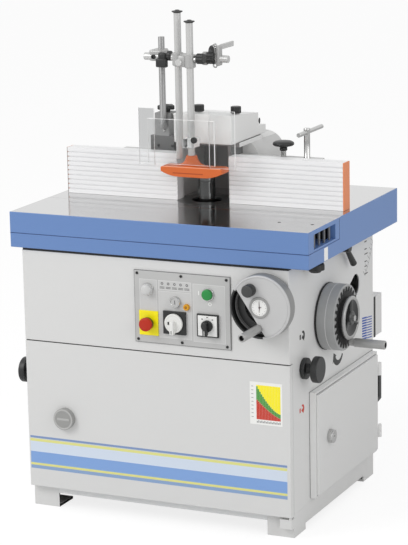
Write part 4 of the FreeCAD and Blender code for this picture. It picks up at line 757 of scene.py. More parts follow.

# %% [markdown]
# ## Painted gap shade and lip of the cabinet
# Black blocks of painted shadow fill the gap under the table and the gap between the upper panel and the door, and
# make the two strong lines of the photograph. Grey lines of painted shadow run round the electrical box, and under the
# door the base has a folded lip between its feet, painted lighter than the cabinet as painted light in its shade. The
# shade is plain blocks that fill the gaps: a gap left open would show the inside of the cabinet.

# %% Painted gap shade
DOOR_LOW = span("lower_door")[0]
PANEL_LOW, PANEL_HIGH = span("front_upper_panel")
DOOR_FRONT = DOOR_LOW.y
LEFT_X = span("cabinet_left_side")[0].x
GAP_SHADE_TOP, GAP_SHADE_END = TABLE_LOW.z - 0.2, 300
bm = bmesh.new()
# Black blocks under the table, between panel and door and along the right side: painted shadow in the gaps.
block(bm, (LEFT_X + 2, DOOR_FRONT + 3, PANEL_LOW.z - 8), (SIDE_X - 2, DOOR_FRONT + 14, PANEL_LOW.z + 1))
block(bm, (LEFT_X + 2, DOOR_FRONT + 1, PANEL_HIGH.z - 1), (SIDE_X - 1, DOOR_FRONT + 12, GAP_SHADE_TOP))
block(bm, (SIDE_X - 8, DOOR_FRONT + 12, PANEL_HIGH.z - 1), (SIDE_X - 1, GAP_SHADE_END, GAP_SHADE_TOP))
piece(bm, "cabinet_gap_shade", dull_black_and_gap_shade)

BOX_LOW, BOX_HIGH = span("electrical_box")
LEAF_LOW, LEAF_HIGH = span("electrical_door")
BOX_FACE, LEAF_END = LEAF_LOW.x - 0.4, LEAF_HIGH.y - 17
gap_shade_grey = finish("grey painted gap shade", "#7E7F7F", 0.6)  # painted shadow: a fine grey line round the box and along its door
bm = bmesh.new()
# Grey lines where the box meets the side, along its front and top: painted shadow.
block(bm, (SIDE_X + 0.1, BOX_LOW.y - 0.5, BOX_LOW.z), (SIDE_X + 1.6, BOX_LOW.y + 1, BOX_HIGH.z))
block(bm, (SIDE_X + 0.1, BOX_LOW.y - 0.5, BOX_HIGH.z - 1), (SIDE_X + 1.6, BOX_HIGH.y, BOX_HIGH.z + 0.5))
# Lines above and below the door: painted shadow in its gaps.
for low, high in ((LEAF_HIGH.z + 0.2, LEAF_HIGH.z + 2.0), (LEAF_LOW.z - 3.2, LEAF_LOW.z - 0.2)):
    side(bm, patch((LEAF_LOW.y, low), (LEAF_END, high)), 0, BOX_FACE, 0.1)
piece(bm, "box_gap_shade", gap_shade_grey)
print(f"gap shade: table, door and electrical box, whose face is at X {BOX_FACE:.1f}")

# %% Folded lip under the door
FOOT_WIDTH, LIP_LOW, LIP_HIGH, LIP_FRONT = 84.0, 44.0, 64.8, DOOR_FRONT + 22
lip_painted_light = finish("powder coat of the lip, painted light", "#E2E3E3", 0.5)  # painted light: lighter than the cabinet's coat, which lifts the shade under the door
bm = bmesh.new()
block(bm, (LEFT_X + FOOT_WIDTH, LIP_FRONT, LIP_LOW), (SIDE_X - FOOT_WIDTH, LIP_FRONT + 5, LIP_HIGH))
piece(bm, "base_front_lip", lip_painted_light)
print(f"lip: {SIDE_X - LEFT_X - 2 * FOOT_WIDTH:.0f} mm long")

# %% [markdown]
# ## Stripes and chart on the door
# A band of plain blue and yellow stripes runs across the door. The speed chart is a generic one: a white plate with
# columns of red, green and yellow bars, which step down in a curve, and plain marks for its scales. Bars from a
# formula keep the curve even.


# %% Stripes
def prints(roughness, **codes):
    """Printed finishes, named by their keys."""
    return [finish("printed " + name.replace("_", " "), code, roughness) for name, code in codes.items()]


STRIPE_TOP, STRIPE_LOW, STRIPE_END = 222.0, 121.0, 411
STRIPES = [(0.00, 0.065, 0), (0.085, 0.165, 1), (0.165, 0.48, 2), (0.48, 0.825, 3), (0.825, 0.895, 1), (0.90, 1.00, 4)]
# Flat colours with a satin film: two quiet lines, two yellow ones and two broad blues.
stripe_finishes = prints(0.45, blue_line="#7F97C2", pale_yellow="#E0DF8C", pale_blue="#D3DEED", mid_blue="#82A6DC",
                         grey_blue="#8BA6CC")
bm = bmesh.new()
for start, end, index in STRIPES:
    under, over = (STRIPE_TOP - share * (STRIPE_TOP - STRIPE_LOW) for share in (end, start))
    front(bm, patch((DOOR_LOW.x + 4.5, under), (STRIPE_END, over)), DOOR_FRONT, index, 0.2)
piece(bm, "door_stripes", stripe_finishes, "lower_door")
print("stripes:", len(STRIPES), "bands")

# %% Chart
CHART_LOW, CHART_HIGH, CHART_FACE = (299.0, 334.5), (398.0, 459.0), DOOR_FRONT - 0.2
COLUMNS, ROWS, BAR_GAP = 16, 9, 0.15
bm = bmesh.new()
front(bm, patch(CHART_LOW, CHART_HIGH), DOOR_FRONT, 0, 0.2)
wide, tall = CHART_HIGH[0] - CHART_LOW[0], CHART_HIGH[1] - CHART_LOW[1]
left, low = CHART_LOW[0] + 0.20 * wide, CHART_LOW[1] + 0.12 * tall
cell, rise = 0.75 * wide / COLUMNS, 0.81 * tall
for column in range(COLUMNS):
    share = 1 - (column + 0.5) / COLUMNS
    levels = [low + rise * level for level in (0.0, 0.08 + 0.51 * share ** 1.4, 0.2 + 0.8 * share ** 1.6, 1.0)]
    start = left + column * cell
    for index in range(3):
        front(bm, patch((start + BAR_GAP, levels[index] + BAR_GAP),
                        (start + cell - BAR_GAP, levels[index + 1] - BAR_GAP)), CHART_FACE, index + 1)
    tick = 12 if column % 2 else 10
    front(bm, patch((start + 0.9, CHART_LOW[1] + 5), (start + cell - 0.9, CHART_LOW[1] + tick)), CHART_FACE, 4)
for row in range(ROWS):
    level = low + rise * (row + 0.5) / ROWS
    front(bm, patch((CHART_LOW[0] + 4.5, level), (CHART_LOW[0] + 11, level + 1.6)), CHART_FACE, 4)
# A white plate with clear traffic colours, and grey marks too small to read.
chart_finishes = prints(0.45, white_plate="#F2F2EF", chart_red="#C8321A", chart_green="#4C9A3E",
                        chart_yellow="#FFF000") + prints(0.5, grey_line="#8C8C8C")
piece(bm, "speed_chart", chart_finishes, "lower_door")
print("chart:", COLUMNS, "columns")

# %% [markdown]
# ## Marks on the right side
# Curved arrows show which way the wheels turn, a small red mark stands near the electrical box, and a patch of plain
# blue lines sits by the rear edge. The ledge of the table carries a blank white label. An arrow is a band between two
# angles that widens to its head.

# %% Curved arrows
ARROW_STEPS = 14
TAIL_HALF, TAIL_GROWTH, HEAD_HALF, HEAD_LONG = 0.2, 0.3, 0.85, 1.1  # shares of the size of the head


def curved_arrow(bm, centre, radius, start, end, head, index=0):
    """A curved arrow on the right side that widens from its tail to its head."""
    outer, inner = [], []
    for i in range(ARROW_STEPS + 1):
        angle = start + (end - start) * i / ARROW_STEPS
        half = head * (TAIL_HALF + TAIL_GROWTH * i / ARROW_STEPS)
        outer.append(polar(centre, radius + half, angle))
        inner.append(polar(centre, radius - half, angle))
    side(bm, outer + inner[::-1], index)
    way = 1 if end > start else -1
    tip = end + way * head * HEAD_LONG / radius
    points = [polar(centre, radius + head * HEAD_HALF, end), polar(centre, radius, tip),
              polar(centre, radius - head * HEAD_HALF, end)]
    side(bm, points[::way], index, thick=0.35)


# Dull ink: black and blue for signs, grey for scales, red for one mark, and a satin white for labels.
print_black, print_blue, print_grey, print_red = prints(0.5, black="#2B2C2B", deep_blue="#1F4AA5", grey="#7B7C7C",
                                                        red="#C6402D")
print_white = finish("printed white", "#F1F1EF", 0.45)
print("arrows of", ARROW_STEPS, "steps ready")

# %% Arrows, lines, scale and label
ARROWS = [((30, 470), 38, 330, 215, 20, 0), ((-244, 580), 10, 110, -60, 13, 0), ((-252, 367), 9, 110, -60, 12, 2)]
TAILS = [((-267, 571), (-258, 585), 0), ((-273, 358), (-265, 371), 2)]
BLUE_START, BLUE_LOW, BLUE_PITCH, BLUE_SLOPE, BLUE_LINES = 228, 452, 8, 0.12, 9
SIGN_START, SIGN_LOW, SIGN_PITCH = 250, 650, 19
SCALE_CENTRE, SCALE_R, SCALE_TICKS = (8, 900), 352.0, 9
SCALE_START, SCALE_END = radians(-46), radians(-27)
LABEL_LOW, LABEL_HIGH = (-236, 797), (-208, 834)
bm = bmesh.new()
for centre, radius, start, end, head, index in ARROWS:
    curved_arrow(bm, centre, radius, radians(start), radians(end), head, index)
for low, high, index in TAILS:
    side(bm, patch(low, high), index)
for start, end, wide in ((BLUE_START, 266, 4.8), (269, 310, 3.0)):
    drop = BLUE_SLOPE * (end - start)
    for i in range(BLUE_LINES):
        level = BLUE_LOW - BLUE_SLOPE * (start - BLUE_START) + i * BLUE_PITCH
        side(bm, [(start, level), (end, level - drop), (end, level - drop + wide), (start, level + wide)], 1)
for i in range(6):
    level = SIGN_LOW + i * SIGN_PITCH + (4 if i % 2 else 0)
    side(bm, patch((SIGN_START, level), (SIGN_START + (18 if i % 3 else 26), level + 3)))
side(bm, arc(SCALE_CENTRE, SCALE_R, SCALE_R + 1.0, SCALE_START, SCALE_END), 3)
for i in range(SCALE_TICKS):
    angle = SCALE_START + (SCALE_END - SCALE_START) * i / (SCALE_TICKS - 1)
    tick = 14 if i % 2 else 22
    side(bm, arc(SCALE_CENTRE, SCALE_R - tick, SCALE_R, angle, angle + 1.2 / SCALE_R, 1), 3)
piece(bm, "side_marks", [print_black, print_blue, print_red, print_grey])

bm = bmesh.new()
side(bm, patch(LABEL_LOW, LABEL_HIGH), 0, TABLE_HIGH.x, 0.25)
piece(bm, "ledge_label", print_white)
print("side marks:", len(ARROWS), "arrows and a scale of", SCALE_TICKS, "ticks")

# %% [markdown]
# ## Control panel
# A grey plate holds three framed groups: lamp and emergency stop, key switch and main switch, start button and speed
# switch. Six black screws hold the plate. Frames are two thin patches on top of each other, so that only a fine line
# of the lower one shows.

# %% Plate, frames, screws and signs
PLATE_LOW, PLATE_HIGH = span("control_panel")
PLATE_FRONT, PLATE_RIM = PLATE_LOW.y, 1.2
FRAMES = [((-39, 566), (16, 731)), ((21, 563), (124, 700)), ((21, 703), (124, 731)), ((129, 560), (229, 729))]
LINE, SIGN_Y = 1.1, PLATE_FRONT - 0.25
SIGNS, SIGN_X, SIGN_STEP, SIGN_Z = 5, 33, 19.5, 722
START_SIGN, TURN_SIGN = (147.5, 703), (182, 673)
SCREW_X, SCREW_Z = (-46, 93, 234), (747, 553)
SCREW = [(0, 0), (4.2, 0), (4.2, 1.6), (3.2, 2.6), (2.2, 2.6), (2.2, 0.8), (0, 0.8)]
plate_grey = finish("brushed grey plate", "#BDBDBC", 0.40)  # a shade below the cabinet
plate_light = finish("printed light grey", "#C9C9C8", 0.42)  # lifts the framed groups a little
plate_line = finish("printed frame line", "#DEDEDD", 0.42)  # fine pale lines round the groups
dark_print_and_rim_shade = finish("printed dark grey and painted rim shade", "#6A6A6A", 0.5)  # small signs, and the dark rim of the plate, which is painted shade in the gap round it
rim = Vector((PLATE_RIM, 0, PLATE_RIM))
bm = bmesh.new()
block(bm, PLATE_LOW, PLATE_HIGH, 1.0)
# A dark rim just behind the plate: painted shade in the gap round it.
block(bm, PLATE_LOW - rim + Vector((0, 1, 0)), PLATE_HIGH + rim, index=3)
for low, high in FRAMES:
    front(bm, patch(low, high), PLATE_FRONT, 2, 0.15)
    front(bm, patch((low[0] + LINE, low[1] + LINE), (high[0] - LINE, high[1] - LINE)), PLATE_FRONT - 0.15, 1)
for i in range(SIGNS):
    x = SIGN_X + i * SIGN_STEP
    front(bm, circle((x, SIGN_Z), 4.0, 16), SIGN_Y, 3)
    front(bm, circle((x, SIGN_Z), 1.7, 12), SIGN_Y - 0.1, 1)
    for low in (707.5, 711):
        front(bm, patch((x - 7.5, low), (x + 7.5, low + 1.8)), SIGN_Y, 3)
front(bm, mark(*START_SIGN, 1.5, 6), SIGN_Y, 4)
for start in (0, pi):
    front(bm, arc(TURN_SIGN, 3.2, 5.2, start, start + pi), SIGN_Y, 4)
piece(bm, "control_plate", [plate_grey, plate_light, plate_line, dark_print_and_rim_shade, print_white], node="control_panel")

bm = bmesh.new()
for x in SCREW_X:
    for z in SCREW_Z:
        turned(bm, SCREW, "-y", (x, PLATE_FRONT, z), 24)
piece(bm, "panel_screws", black_plastic)
print("panel:", len(FRAMES), "frames and", len(SCREW_X) * len(SCREW_Z), "screws")

# %% Plates and contact blocks
LAMP_SIDE, LAMP_FOOT = 25, 660


def fitting_finish(face):
    """Black switch plate, yellow stop plate, opal lamp and grey contact blocks, told apart by place."""
    centre = face.calc_center_median()
    if centre.y > PLATE_FRONT + 3:
        return 3
    return 0 if centre.x >= LAMP_SIDE else 2 if centre.z > LAMP_FOOT else 1


rounded("control_fittings", [black_plastic, signal_yellow, lamp_white, contact_grey], 0.8, second=fitting_finish,
        sharp=60)
corners = [vert.co / MM for vert in frame["nodes"]["control_fittings"].data.vertices]
MAIN_BASE = min(corner.y for corner in corners if corner.x > LAMP_SIDE)
print(f"control plates: front of the switches at {MAIN_BASE:.1f} mm")

# %% Lamp cap, switch faces and bezels
LAMP, START_RING, BRASS_PLUG = (-12, 702.6), (176.3, 701), (110, 659)
SPEED_X, SPEED_Z, SPEED_FACE = middle("speed_switch_knob").x, span("speed_switch_knob")[1].z - 17, 29.5
LAMP_CAP = [(0, 12), (15, 12), (16.2, 13), (16.2, 15), (14, 18.5), (9, 21), (0, 22)]
PLUG = [(0, 0), (9.5, 0), (9.5, 6), (8, 8.5), (4.5, 8.5), (4.0, 6), (0, 6)]
bm = bmesh.new()
front(bm, mark(SPEED_X, SPEED_Z, SPEED_FACE, SPEED_FACE), MAIN_BASE, 0, 0.4)
for angle in (130, 90, 50):
    front(bm, mark(*polar((SPEED_X, SPEED_Z), 25, radians(angle)), 2.5, 1.2), MAIN_BASE - 0.4, 1)
for profile, (x, z), steps, index in ((LAMP_CAP, LAMP, 48, 2), (ring(15.5, 18.5, 0, 4, 0.8), LAMP, 48, 3),
                                      (ring(16.4, 19.5, 0, 4.5, 0.8), START_RING, 48, 3), (PLUG, BRASS_PLUG, 40, 4)):
    turned(bm, profile, "-y", (x, PLATE_FRONT, z), steps, index)
front(bm, mark(*BRASS_PLUG, 1.2, 4), PLATE_FRONT - 6, 1, 0.4)
piece(bm, "panel_bezels", [print_white, print_black, lamp_white, lock_silver, brass])
print("lamp, switch face and bezels made")

# %% [markdown]
# Each push button, key and knob is its own piece, because each one moves. Most are turned on a line that stands
# square to the panel, and each profile starts a little behind the front of its CAD node.

# %% Emergency stop, key and start button
STOP_STEM = [(0, -9), (8, -9), (8, 7), (18.6, 7), (19, 14), (16, 16), (0, 16)]
STOP_CAP = [(0, 14), (18, 14), (19.6, 15.5), (20, 18), (20, 23), (19, 25.6), (15.5, 27.2), (8, 27.9), (0, 28)]
KEY_BARREL = [(0, -14), (7.5, -14), (7.5, 0), (17, 0), (17, 6), (15.4, 8.6), (13, 9), (11.6, 7.0), (0, 7.0)]
START_CAP = [(0, -11), (7.5, -11), (7.5, -0.5), (16, -0.5), (16, 3), (15, 5.5), (11.5, 6.8), (0, 7)]


def behind_front(node, depth):
    """A point on the middle line of a node, set back from its front."""
    return along(middle(node), "y")(span(node)[0].y + depth)


bm = bmesh.new()
turned(bm, STOP_STEM, "-y", behind_front("estop_button", 28), 48, 1)
turned(bm, STOP_CAP, "-y", behind_front("estop_button", 28), 64)
piece(bm, "stop_mushroom", [signal_red, black_plastic], node="estop_button")

bm = bmesh.new()
turned(bm, KEY_BARREL, "-y", behind_front("key_switch", 9), 56)
slot = behind_front("key_switch", 2)
front(bm, mark(slot.x, slot.z, 1.2, 6), slot.y, 1, 0.3)
piece(bm, "key_barrel", [lock_silver, dark_print_and_rim_shade], node="key_switch")

bm = bmesh.new()
turned(bm, START_CAP, "-y", behind_front("start_button", 7), 56)
piece(bm, "start_cap", signal_green, node="start_button")
print("stop, key and start button made")

# %% Switch knobs
MAIN_X, MAIN_Z = middle("main_switch_knob").x, span("main_switch_knob")[1].z - 28
MAIN_DISC = [(0, 0.3), (27, 0.3), (28, 1.5), (28, 6.5), (26.4, 8), (23, 8), (22, 7), (0, 7)]
SPEED_DISC = [(0, 0.3), (17, 0.3), (17, 8), (15.5, 10), (0, 10)]


def switch_knob(node, x, z, profile, steps, reach, rounding, stem_index):
    """A disc with a handle across it and a stem behind; reach gives the handle's depth, low end and high end."""
    bm = bmesh.new()
    at = along((x, 0, z), "y")
    turned(bm, profile, "-y", at(MAIN_BASE), steps)
    depth, low, high = reach
    block(bm, (x - 6, span(node)[0].y, z - low), (x + 6, MAIN_BASE - depth, z + high), rounding, 3)
    bar(bm, at(MAIN_BASE + 12), at(MAIN_BASE), 7.5, index=stem_index)
    return bm, span(node)[0].y


bm, handle = switch_knob("main_switch_knob", MAIN_X, MAIN_Z, MAIN_DISC, 72, (6, 31, 8), 2.2, 1)
front(bm, patch((MAIN_X - 18, MAIN_Z - 5), (MAIN_X - 12, MAIN_Z + 4)), MAIN_BASE - 7, 1, 0.3)
front(bm, patch((MAIN_X - 1.2, MAIN_Z - 28), (MAIN_X + 1.2, MAIN_Z - 18)), handle, 1, 0.2)
piece(bm, "main_switch_disc", [switch_white, print_black], node="main_switch_knob")
bm, handle = switch_knob("speed_switch_knob", SPEED_X, SPEED_Z, SPEED_DISC, 56, (8, 26, 13), 2.5, 0)
front(bm, patch((SPEED_X - 0.8, SPEED_Z - 24), (SPEED_X + 0.8, SPEED_Z - 10)), handle, 1, 0.2)
piece(bm, "speed_switch_pointer", [black_plastic, print_white], node="speed_switch_knob")
print("two switch knobs made")

# %% [markdown]
# ## Front handwheel
# The tilt wheel is a shallow grey dish. Its face ends at a straight chord, and behind the chord a black pocket shows.
# The dial in the middle reads the angle. The grip turns freely on its stud. The rim is turned, and the face is a
# circle with the points beyond the chord left out: cutting a finished dish would leave ragged edges.

# %% Tilt wheel
WHEEL, GRIP = middle("tilt_dial"), middle("tilt_grip")
WHEEL_R, WHEEL_BACK = (span("tilt_handwheel")[1].x - span("tilt_handwheel")[0].x) / 2, span("tilt_handwheel")[1].y
DIAL_FRONT = span("tilt_dial")[0].y
WHEEL_FACE, DISH_R = DIAL_FRONT + 3, 84.0
CHORD, CHORD_WAY = 34.0, Vector((-0.838, -0.545))
pocket_grey = finish("moulded grey rib", "#6F6F6F", 0.45)  # a thin grey curve in the black pocket
depth = WHEEL_BACK - WHEEL_FACE
RIM = [(DISH_R, 0), (89, 0), (91, 2), (91, depth - 4), (89.5, depth - 1), (87, depth), (84.5, depth - 0.6),
       (DISH_R, depth - 3), (DISH_R, 0)]


def in_pocket(face, centre):
    """The part of the rim beyond the chord, where the pocket is open; it is painted black, partly as painted shade."""
    spot = Vector((centre.x - WHEEL.x, centre.z - WHEEL.z))
    return spot.dot(CHORD_WAY) > CHORD + 6 and (spot.length < 88.5 or centre.y < WHEEL_FACE + 3)


bm = bmesh.new()
at, grip_at = along(WHEEL, "y"), along(GRIP, "y")
turned(bm, RIM, "-y", at(WHEEL_BACK), 120, 1)
repaint(bm, 0, lambda face, centre: centre.y < WHEEL_FACE + 3.2)
# The rim beyond the chord is black: partly the black inner wheel, partly painted shade in the opening.
repaint(bm, 2, in_pocket)
for profile, index in ((disc(DISH_R + 0.2, 6, depth - 22, 0.5), 2), (ring(75.2, 76.0, depth - 24, depth - 7, 0.2), 3),
                       (ring(50, 51.4, depth - 24, depth - 14, 0.4), 2)):
    turned(bm, profile, "-y", at(WHEEL_BACK), 96, index)
whole = [Vector(point) for point in circle((0, 0), DISH_R + 0.1, 160)]
inside = [point for point in whole if point.dot(CHORD_WAY.normalized()) < CHORD]
start = next(i for i, point in enumerate(inside) if (point - inside[i - 1]).length > 10)
outline = [at(WHEEL_FACE + 0.3) + Vector((u, 0, v)) for u, v in inside[start:] + inside[:start]]
grow(bm, outline, (0, depth - 20, 0))
bar(bm, grip_at(WHEEL_FACE + 20), grip_at(span("tilt_grip")[0].y + 12), 4, index=4)
turned(bm, disc(11.5, 0, 1.2, 0.4), "-y", grip_at(WHEEL_FACE + 0.3), 40, 2)
piece(bm, "tilt_wheel_dish", [wheel_grey, rim_grey, black_plastic, pocket_grey, bright_steel], node="tilt_handwheel",
      smooth=35)
print(f"tilt wheel: radius {WHEEL_R:.0f} mm")

# %% Dial
DIAL = [(0, -11), (30.5, -11), (30.5, -1.5), (29, 0), (25, 0), (23, -1.6), (22.8, -2.6), (0, -2.6)]
TICKS, TICK_END = 24, 21.2
HANDS = [(92, 17, 1.3), (268, 14, 1.2), (20, 8, 1.0)]
dial_grey = finish("dial bezel, grey", "#9A9A99", 0.36)  # sets the white face off from the wheel
hand_brown = finish("dial hand, dark brown", "#4A3436", 0.5)  # dark hands that are not quite black


def dial_mark(bm, angle, start, end, half, tip, level, index, thick):
    """A flat mark that points outward on the dial, with half widths at its start and its end."""
    out, across = Vector((cos(angle), sin(angle))), Vector((-sin(angle), cos(angle)))
    points = [out * start - across * half, out * end - across * tip, out * end + across * tip,
              out * start + across * half]
    front(bm, [(WHEEL.x + p.x, WHEEL.z + p.y) for p in points], level, index, thick)


bm = bmesh.new()
turned(bm, DIAL, "-y", at(DIAL_FRONT), 80)
repaint(bm, 1, lambda face, centre: hypot(centre.x - WHEEL.x, centre.z - WHEEL.z) < 22.9
        and centre.y < DIAL_FRONT + 3)
for i in range(TICKS):
    start, half = (19.5, 0.3) if i % 2 else (18, 0.5)
    dial_mark(bm, tau * i / TICKS, start, TICK_END, half, half, DIAL_FRONT + 2.6, 2, 0.15)
for angle, reach, half in HANDS:
    dial_mark(bm, radians(angle), 0, reach, half, half * 0.3, DIAL_FRONT + 2.2, 3, 0.3)
turned(bm, disc(2.2, -2.6, -0.8, 0.4), "-y", at(DIAL_FRONT), 20, 3)
piece(bm, "tilt_dial_face", [dial_grey, print_white, print_grey, hand_brown], node="tilt_dial")
print("dial:", TICKS, "ticks and", len(HANDS), "hands")

# %% Grip and knob of the tilt wheel
GRIP_BORE, GRIP_SOCKET = 4.2, 9
grip_grey = finish("satin grey grip", "#A9A9A8", 0.34, 0.3)  # a soft metallic grey
knob_grey = finish("moulded dark grey knob", "#3F4040", 0.40)  # a dark cap that is lighter than its sides


def tube_grip(node, axis, start, length, radius):
    """A hand grip: a tube with rounded rims and a dark bore at its end."""
    centre = middle(node)
    bore, bottom = radius * 0.56, length - GRIP_SOCKET
    profile = [(GRIP_BORE, 0), (radius - 2, 0), (radius - 0.6, 0.6), (radius, 2), (radius, length - 2.5),
               (radius - 0.8, length - 0.8), (radius - 2.5, length), (radius * 0.62, length), (bore, length - 1.2),
               (bore, bottom)]
    bm = bmesh.new()
    turned(bm, profile, axis, start, 48)
    turned(bm, [(GRIP_BORE, bottom), (bore, bottom)], axis, start, 48, 1)

    def is_bore(face, spot):
        gap = spot - centre
        return hypot(gap.x if axis == "-y" else gap.y, gap.z) < radius * 0.6
    repaint(bm, 1, is_bore)
    turned(bm, [(GRIP_BORE, 0), (GRIP_BORE, bottom)], axis, start, 32, 1)
    piece(bm, f"{node}_tube", [grip_grey, dark_inside], node=node)


low, high = span("tilt_grip")
tube_grip("tilt_grip", "-y", grip_at(high.y), high.y - low.y, (high.x - low.x) / 2)
low, high = span("tilt_wheel_knob")
at = along(middle("tilt_wheel_knob"), "y")
tall = WHEEL_FACE - low.y
bm = bmesh.new()
bar(bm, at(high.y), at(WHEEL_FACE - 1), 4, index=1)
turned(bm, [(0, 0.4), (17, 0.4), (18, 1.6), (18, tall - 5), (16.6, tall - 1.6), (13, tall - 0.4), (0, tall)], "-y",
       at(WHEEL_FACE), 56)
repaint(bm, 2, lambda face, centre: face.material_index == 0 and centre.y > low.y + 3)
piece(bm, "tilt_knob_cap", [knob_grey, bright_steel, black_plastic], node="tilt_wheel_knob")
print("grip and knob made")

# %% [markdown]
# ## Side handwheel
# The height wheel stands on a cast drum. A black toothed ring clamps it, and the small wheel in front has a dished web
# with three arms and a bright bolt. The teeth are one outline that is grown to a thin plate. The rim is a wire profile
# that is turned, which gives a round section all the way.

# %% Drum and toothed ring
DRUM_LOW, DRUM_HIGH = span("height_drum")
RING_LOW, RING_HIGH = span("height_clamp_ring")
HUB = middle("height_clamp_ring")
DRUM_R, DRUM_LINE = (DRUM_HIGH.z - DRUM_LOW.z) / 2, 454
TEETH, TOOTH, RING_PLATE, RING_BORE, RING_HUB = 26, 14.0, 1.5, 30.2, 60
at = along(HUB, "x")


def drum_finish(face):
    """Black at the foot of the drum and inside it, grey elsewhere."""
    centre = face.calc_center_median()
    across = hypot(centre.y - HUB.y, centre.z - HUB.z)
    return centre.x < SIDE_X + 6 or (across < DRUM_R - 4 and centre.x < DRUM_HIGH.x - 16)


rounded("height_drum", [drum_grey, dark_inside], 2.0, second=drum_finish, sharp=60)
bm = bmesh.new()
turned(bm, ring(DRUM_R - 1, DRUM_R + 0.6, 0, 2.4, 0.4), "x", at(DRUM_LINE), 96)
turned(bm, ring(DRUM_R - 1, DRUM_R + 1.5, 0, 5, 0.8), "x", at(SIDE_X + 2), 96, 1)
piece(bm, "height_drum_lines", [wheel_grey, dull_black_and_gap_shade], "tilt_carriage")

ring_r, tall = (RING_HIGH.z - RING_LOW.z) / 2, RING_HIGH.x - RING_LOW.x
outline = [(RING_LOW.x + 1, *polar((HUB.y, HUB.z), reach, tau * (i + share) / TEETH)) for i in range(TEETH)
           for share, reach in ((0.0, ring_r - TOOTH), (0.2, ring_r), (0.5, ring_r), (0.7, ring_r - TOOTH))]
bm = bmesh.new()
grow(bm, outline, (RING_PLATE, 0, 0))
turned(bm, [(RING_BORE, 0), (RING_HUB, 0), (RING_HUB, tall - 2), (RING_HUB - 2, tall), (RING_BORE, tall)], "x",
       at(RING_LOW.x), 64)
piece(bm, "height_ring_teeth", ring_black, node="height_clamp_ring")
print("ring of", TEETH, "teeth")

# %% Side wheel and grip
RIM_R, RIM_WIRE, ARMS = 58.0, 6.0, 3
low, high = span("height_handwheel")
FACE_X = low.x
WEB = [(RIM_R - 5, 9), (40, 4.5), (24, 3.2), (20, 3.2), (20, 0.4), (RIM_R - 4, 0.4), (RIM_R - 5, 9)]
web_dark = finish("dished web, black enamel", "#191A1A", 0.28)  # a glossy black hollow
arm_grey = finish("dished web, dark grey", "#3E3F3F", 0.30)  # arms that stand out from the hollow
bm = bmesh.new()
turned(bm, wire(RIM_R, RIM_WIRE, RIM_WIRE, 20), "x", at(FACE_X), 72)
turned(bm, WEB, "x", at(FACE_X), 64, 1)
for i in range(ARMS):
    out = Vector((0, *polar((0, 0), 1, radians(90) + tau * i / ARMS)))
    bar(bm, at(FACE_X + 4) + out * 14, at(FACE_X + 7) + out * (RIM_R - 4), 6, 20, 2, 5)
turned(bm, [(0, 0.4), (21, 0.4), (21, 10), (18, 13.5), (0, 14)], "x", at(FACE_X), 48, 2)
turned(bm, [(0, 14), (9.5, 14), (9.5, 19.2), (8.7, 20), (0, 20)], "x", at(FACE_X), 6, 3)
grip_at = along(middle("height_grip"), "x")
grip_low, grip_high = span("height_grip")
bar(bm, grip_at(FACE_X + 3), grip_at(grip_low.x - 0.5), 11)
bar(bm, grip_at(FACE_X + 12), grip_at(high.x - 12), 4, index=3)
piece(bm, "height_wheel_rim", [grip_grey, web_dark, arm_grey, bright_steel], node="height_handwheel")
tube_grip("height_grip", "x", grip_at(grip_low.x), grip_high.x - grip_low.x, (grip_high.z - grip_low.z) / 2)
print(f"height wheel: rim {RIM_R:.0f} mm")

# %% [markdown]
# ## Locks, bollards, lever and electrical gear
# These keep their CAD shape with rounder edges, since their forms are plain. The door lock gets a raised rim and a
# bar, the lock of the electrical box a slot, and the contactors get rows of screws. The lever has a tapered handle.

# %% Door lock, bollards and lever
LOCK_R, LOCK_BAR = 32.0, (20, 3.5)
LOCK_RIM = [(26, -1), (31, -1), (31, 0.6), (29.5, 1.4), (27.5, 1.4), (26, 0.4), (26, -1)]
LEVER_Y, LEVER_Z = 40.0, 779.0
lock_face = finish("lock knob, light rim", "#B4B4B2", 0.36)  # a lighter ring that catches the light
lock_grey = finish("lock knob, grey", "#9A9A98", 0.38)  # a plain grey knob
rounded("door_lock", lock_grey, 1.5, sharp=60)
x, y, z = span("door_lock")[1].x - LOCK_R, span("door_lock")[0].y, middle("door_lock").z
bm = bmesh.new()
turned(bm, LOCK_RIM, "-y", (x, y, z), 64)
block(bm, (x - LOCK_BAR[0], y - 1.2, z - LOCK_BAR[1]), (x + LOCK_BAR[0], y + 1, z + LOCK_BAR[1]), 1.0)
piece(bm, "door_lock_rim", lock_face, "door_lock")

rounded("lifting_bollards", black_plastic, 2.5, sharp=60, steps=3)
low, high = span("tilt_lock_lever")
at = along((0, LEVER_Y, LEVER_Z), "x")
bm = bmesh.new()
bar(bm, at(low.x), at(high.x - 30), 6, index=1)
bar(bm, at(high.x - 34), at(high.x), 15, 40)
bar(bm, at(high.x - 14) + Vector((0, 6, -6)), (high.x - 14, high.y - 10, low.z + 10), 7, 28, 0, 10)
piece(bm, "tilt_lock_handle", [black_plastic, bright_steel], node="tilt_lock_lever")
print("door lock, bollards and lever made")

# %% Lock and gear of the electrical box
CONTACTORS, CONTACTOR_START, CONTACTOR_PITCH, CONTACTOR_SCREW = 6, 37, 62, [(0, 0), (3, 0), (3, 0.8), (0, 1.2)]
GEAR_LOW, GEAR_HIGH = span("electrical_gear")
rounded("electrical_lock", lock_silver, 0.8, sharp=60)
low, high = span("electrical_lock")
bm = bmesh.new()
side(bm, mark(middle("electrical_lock").y, low.z + 20, 5, 1.2), 0, high.x, 0.15)
piece(bm, "electrical_lock_slot", print_grey, "electrical_lock")

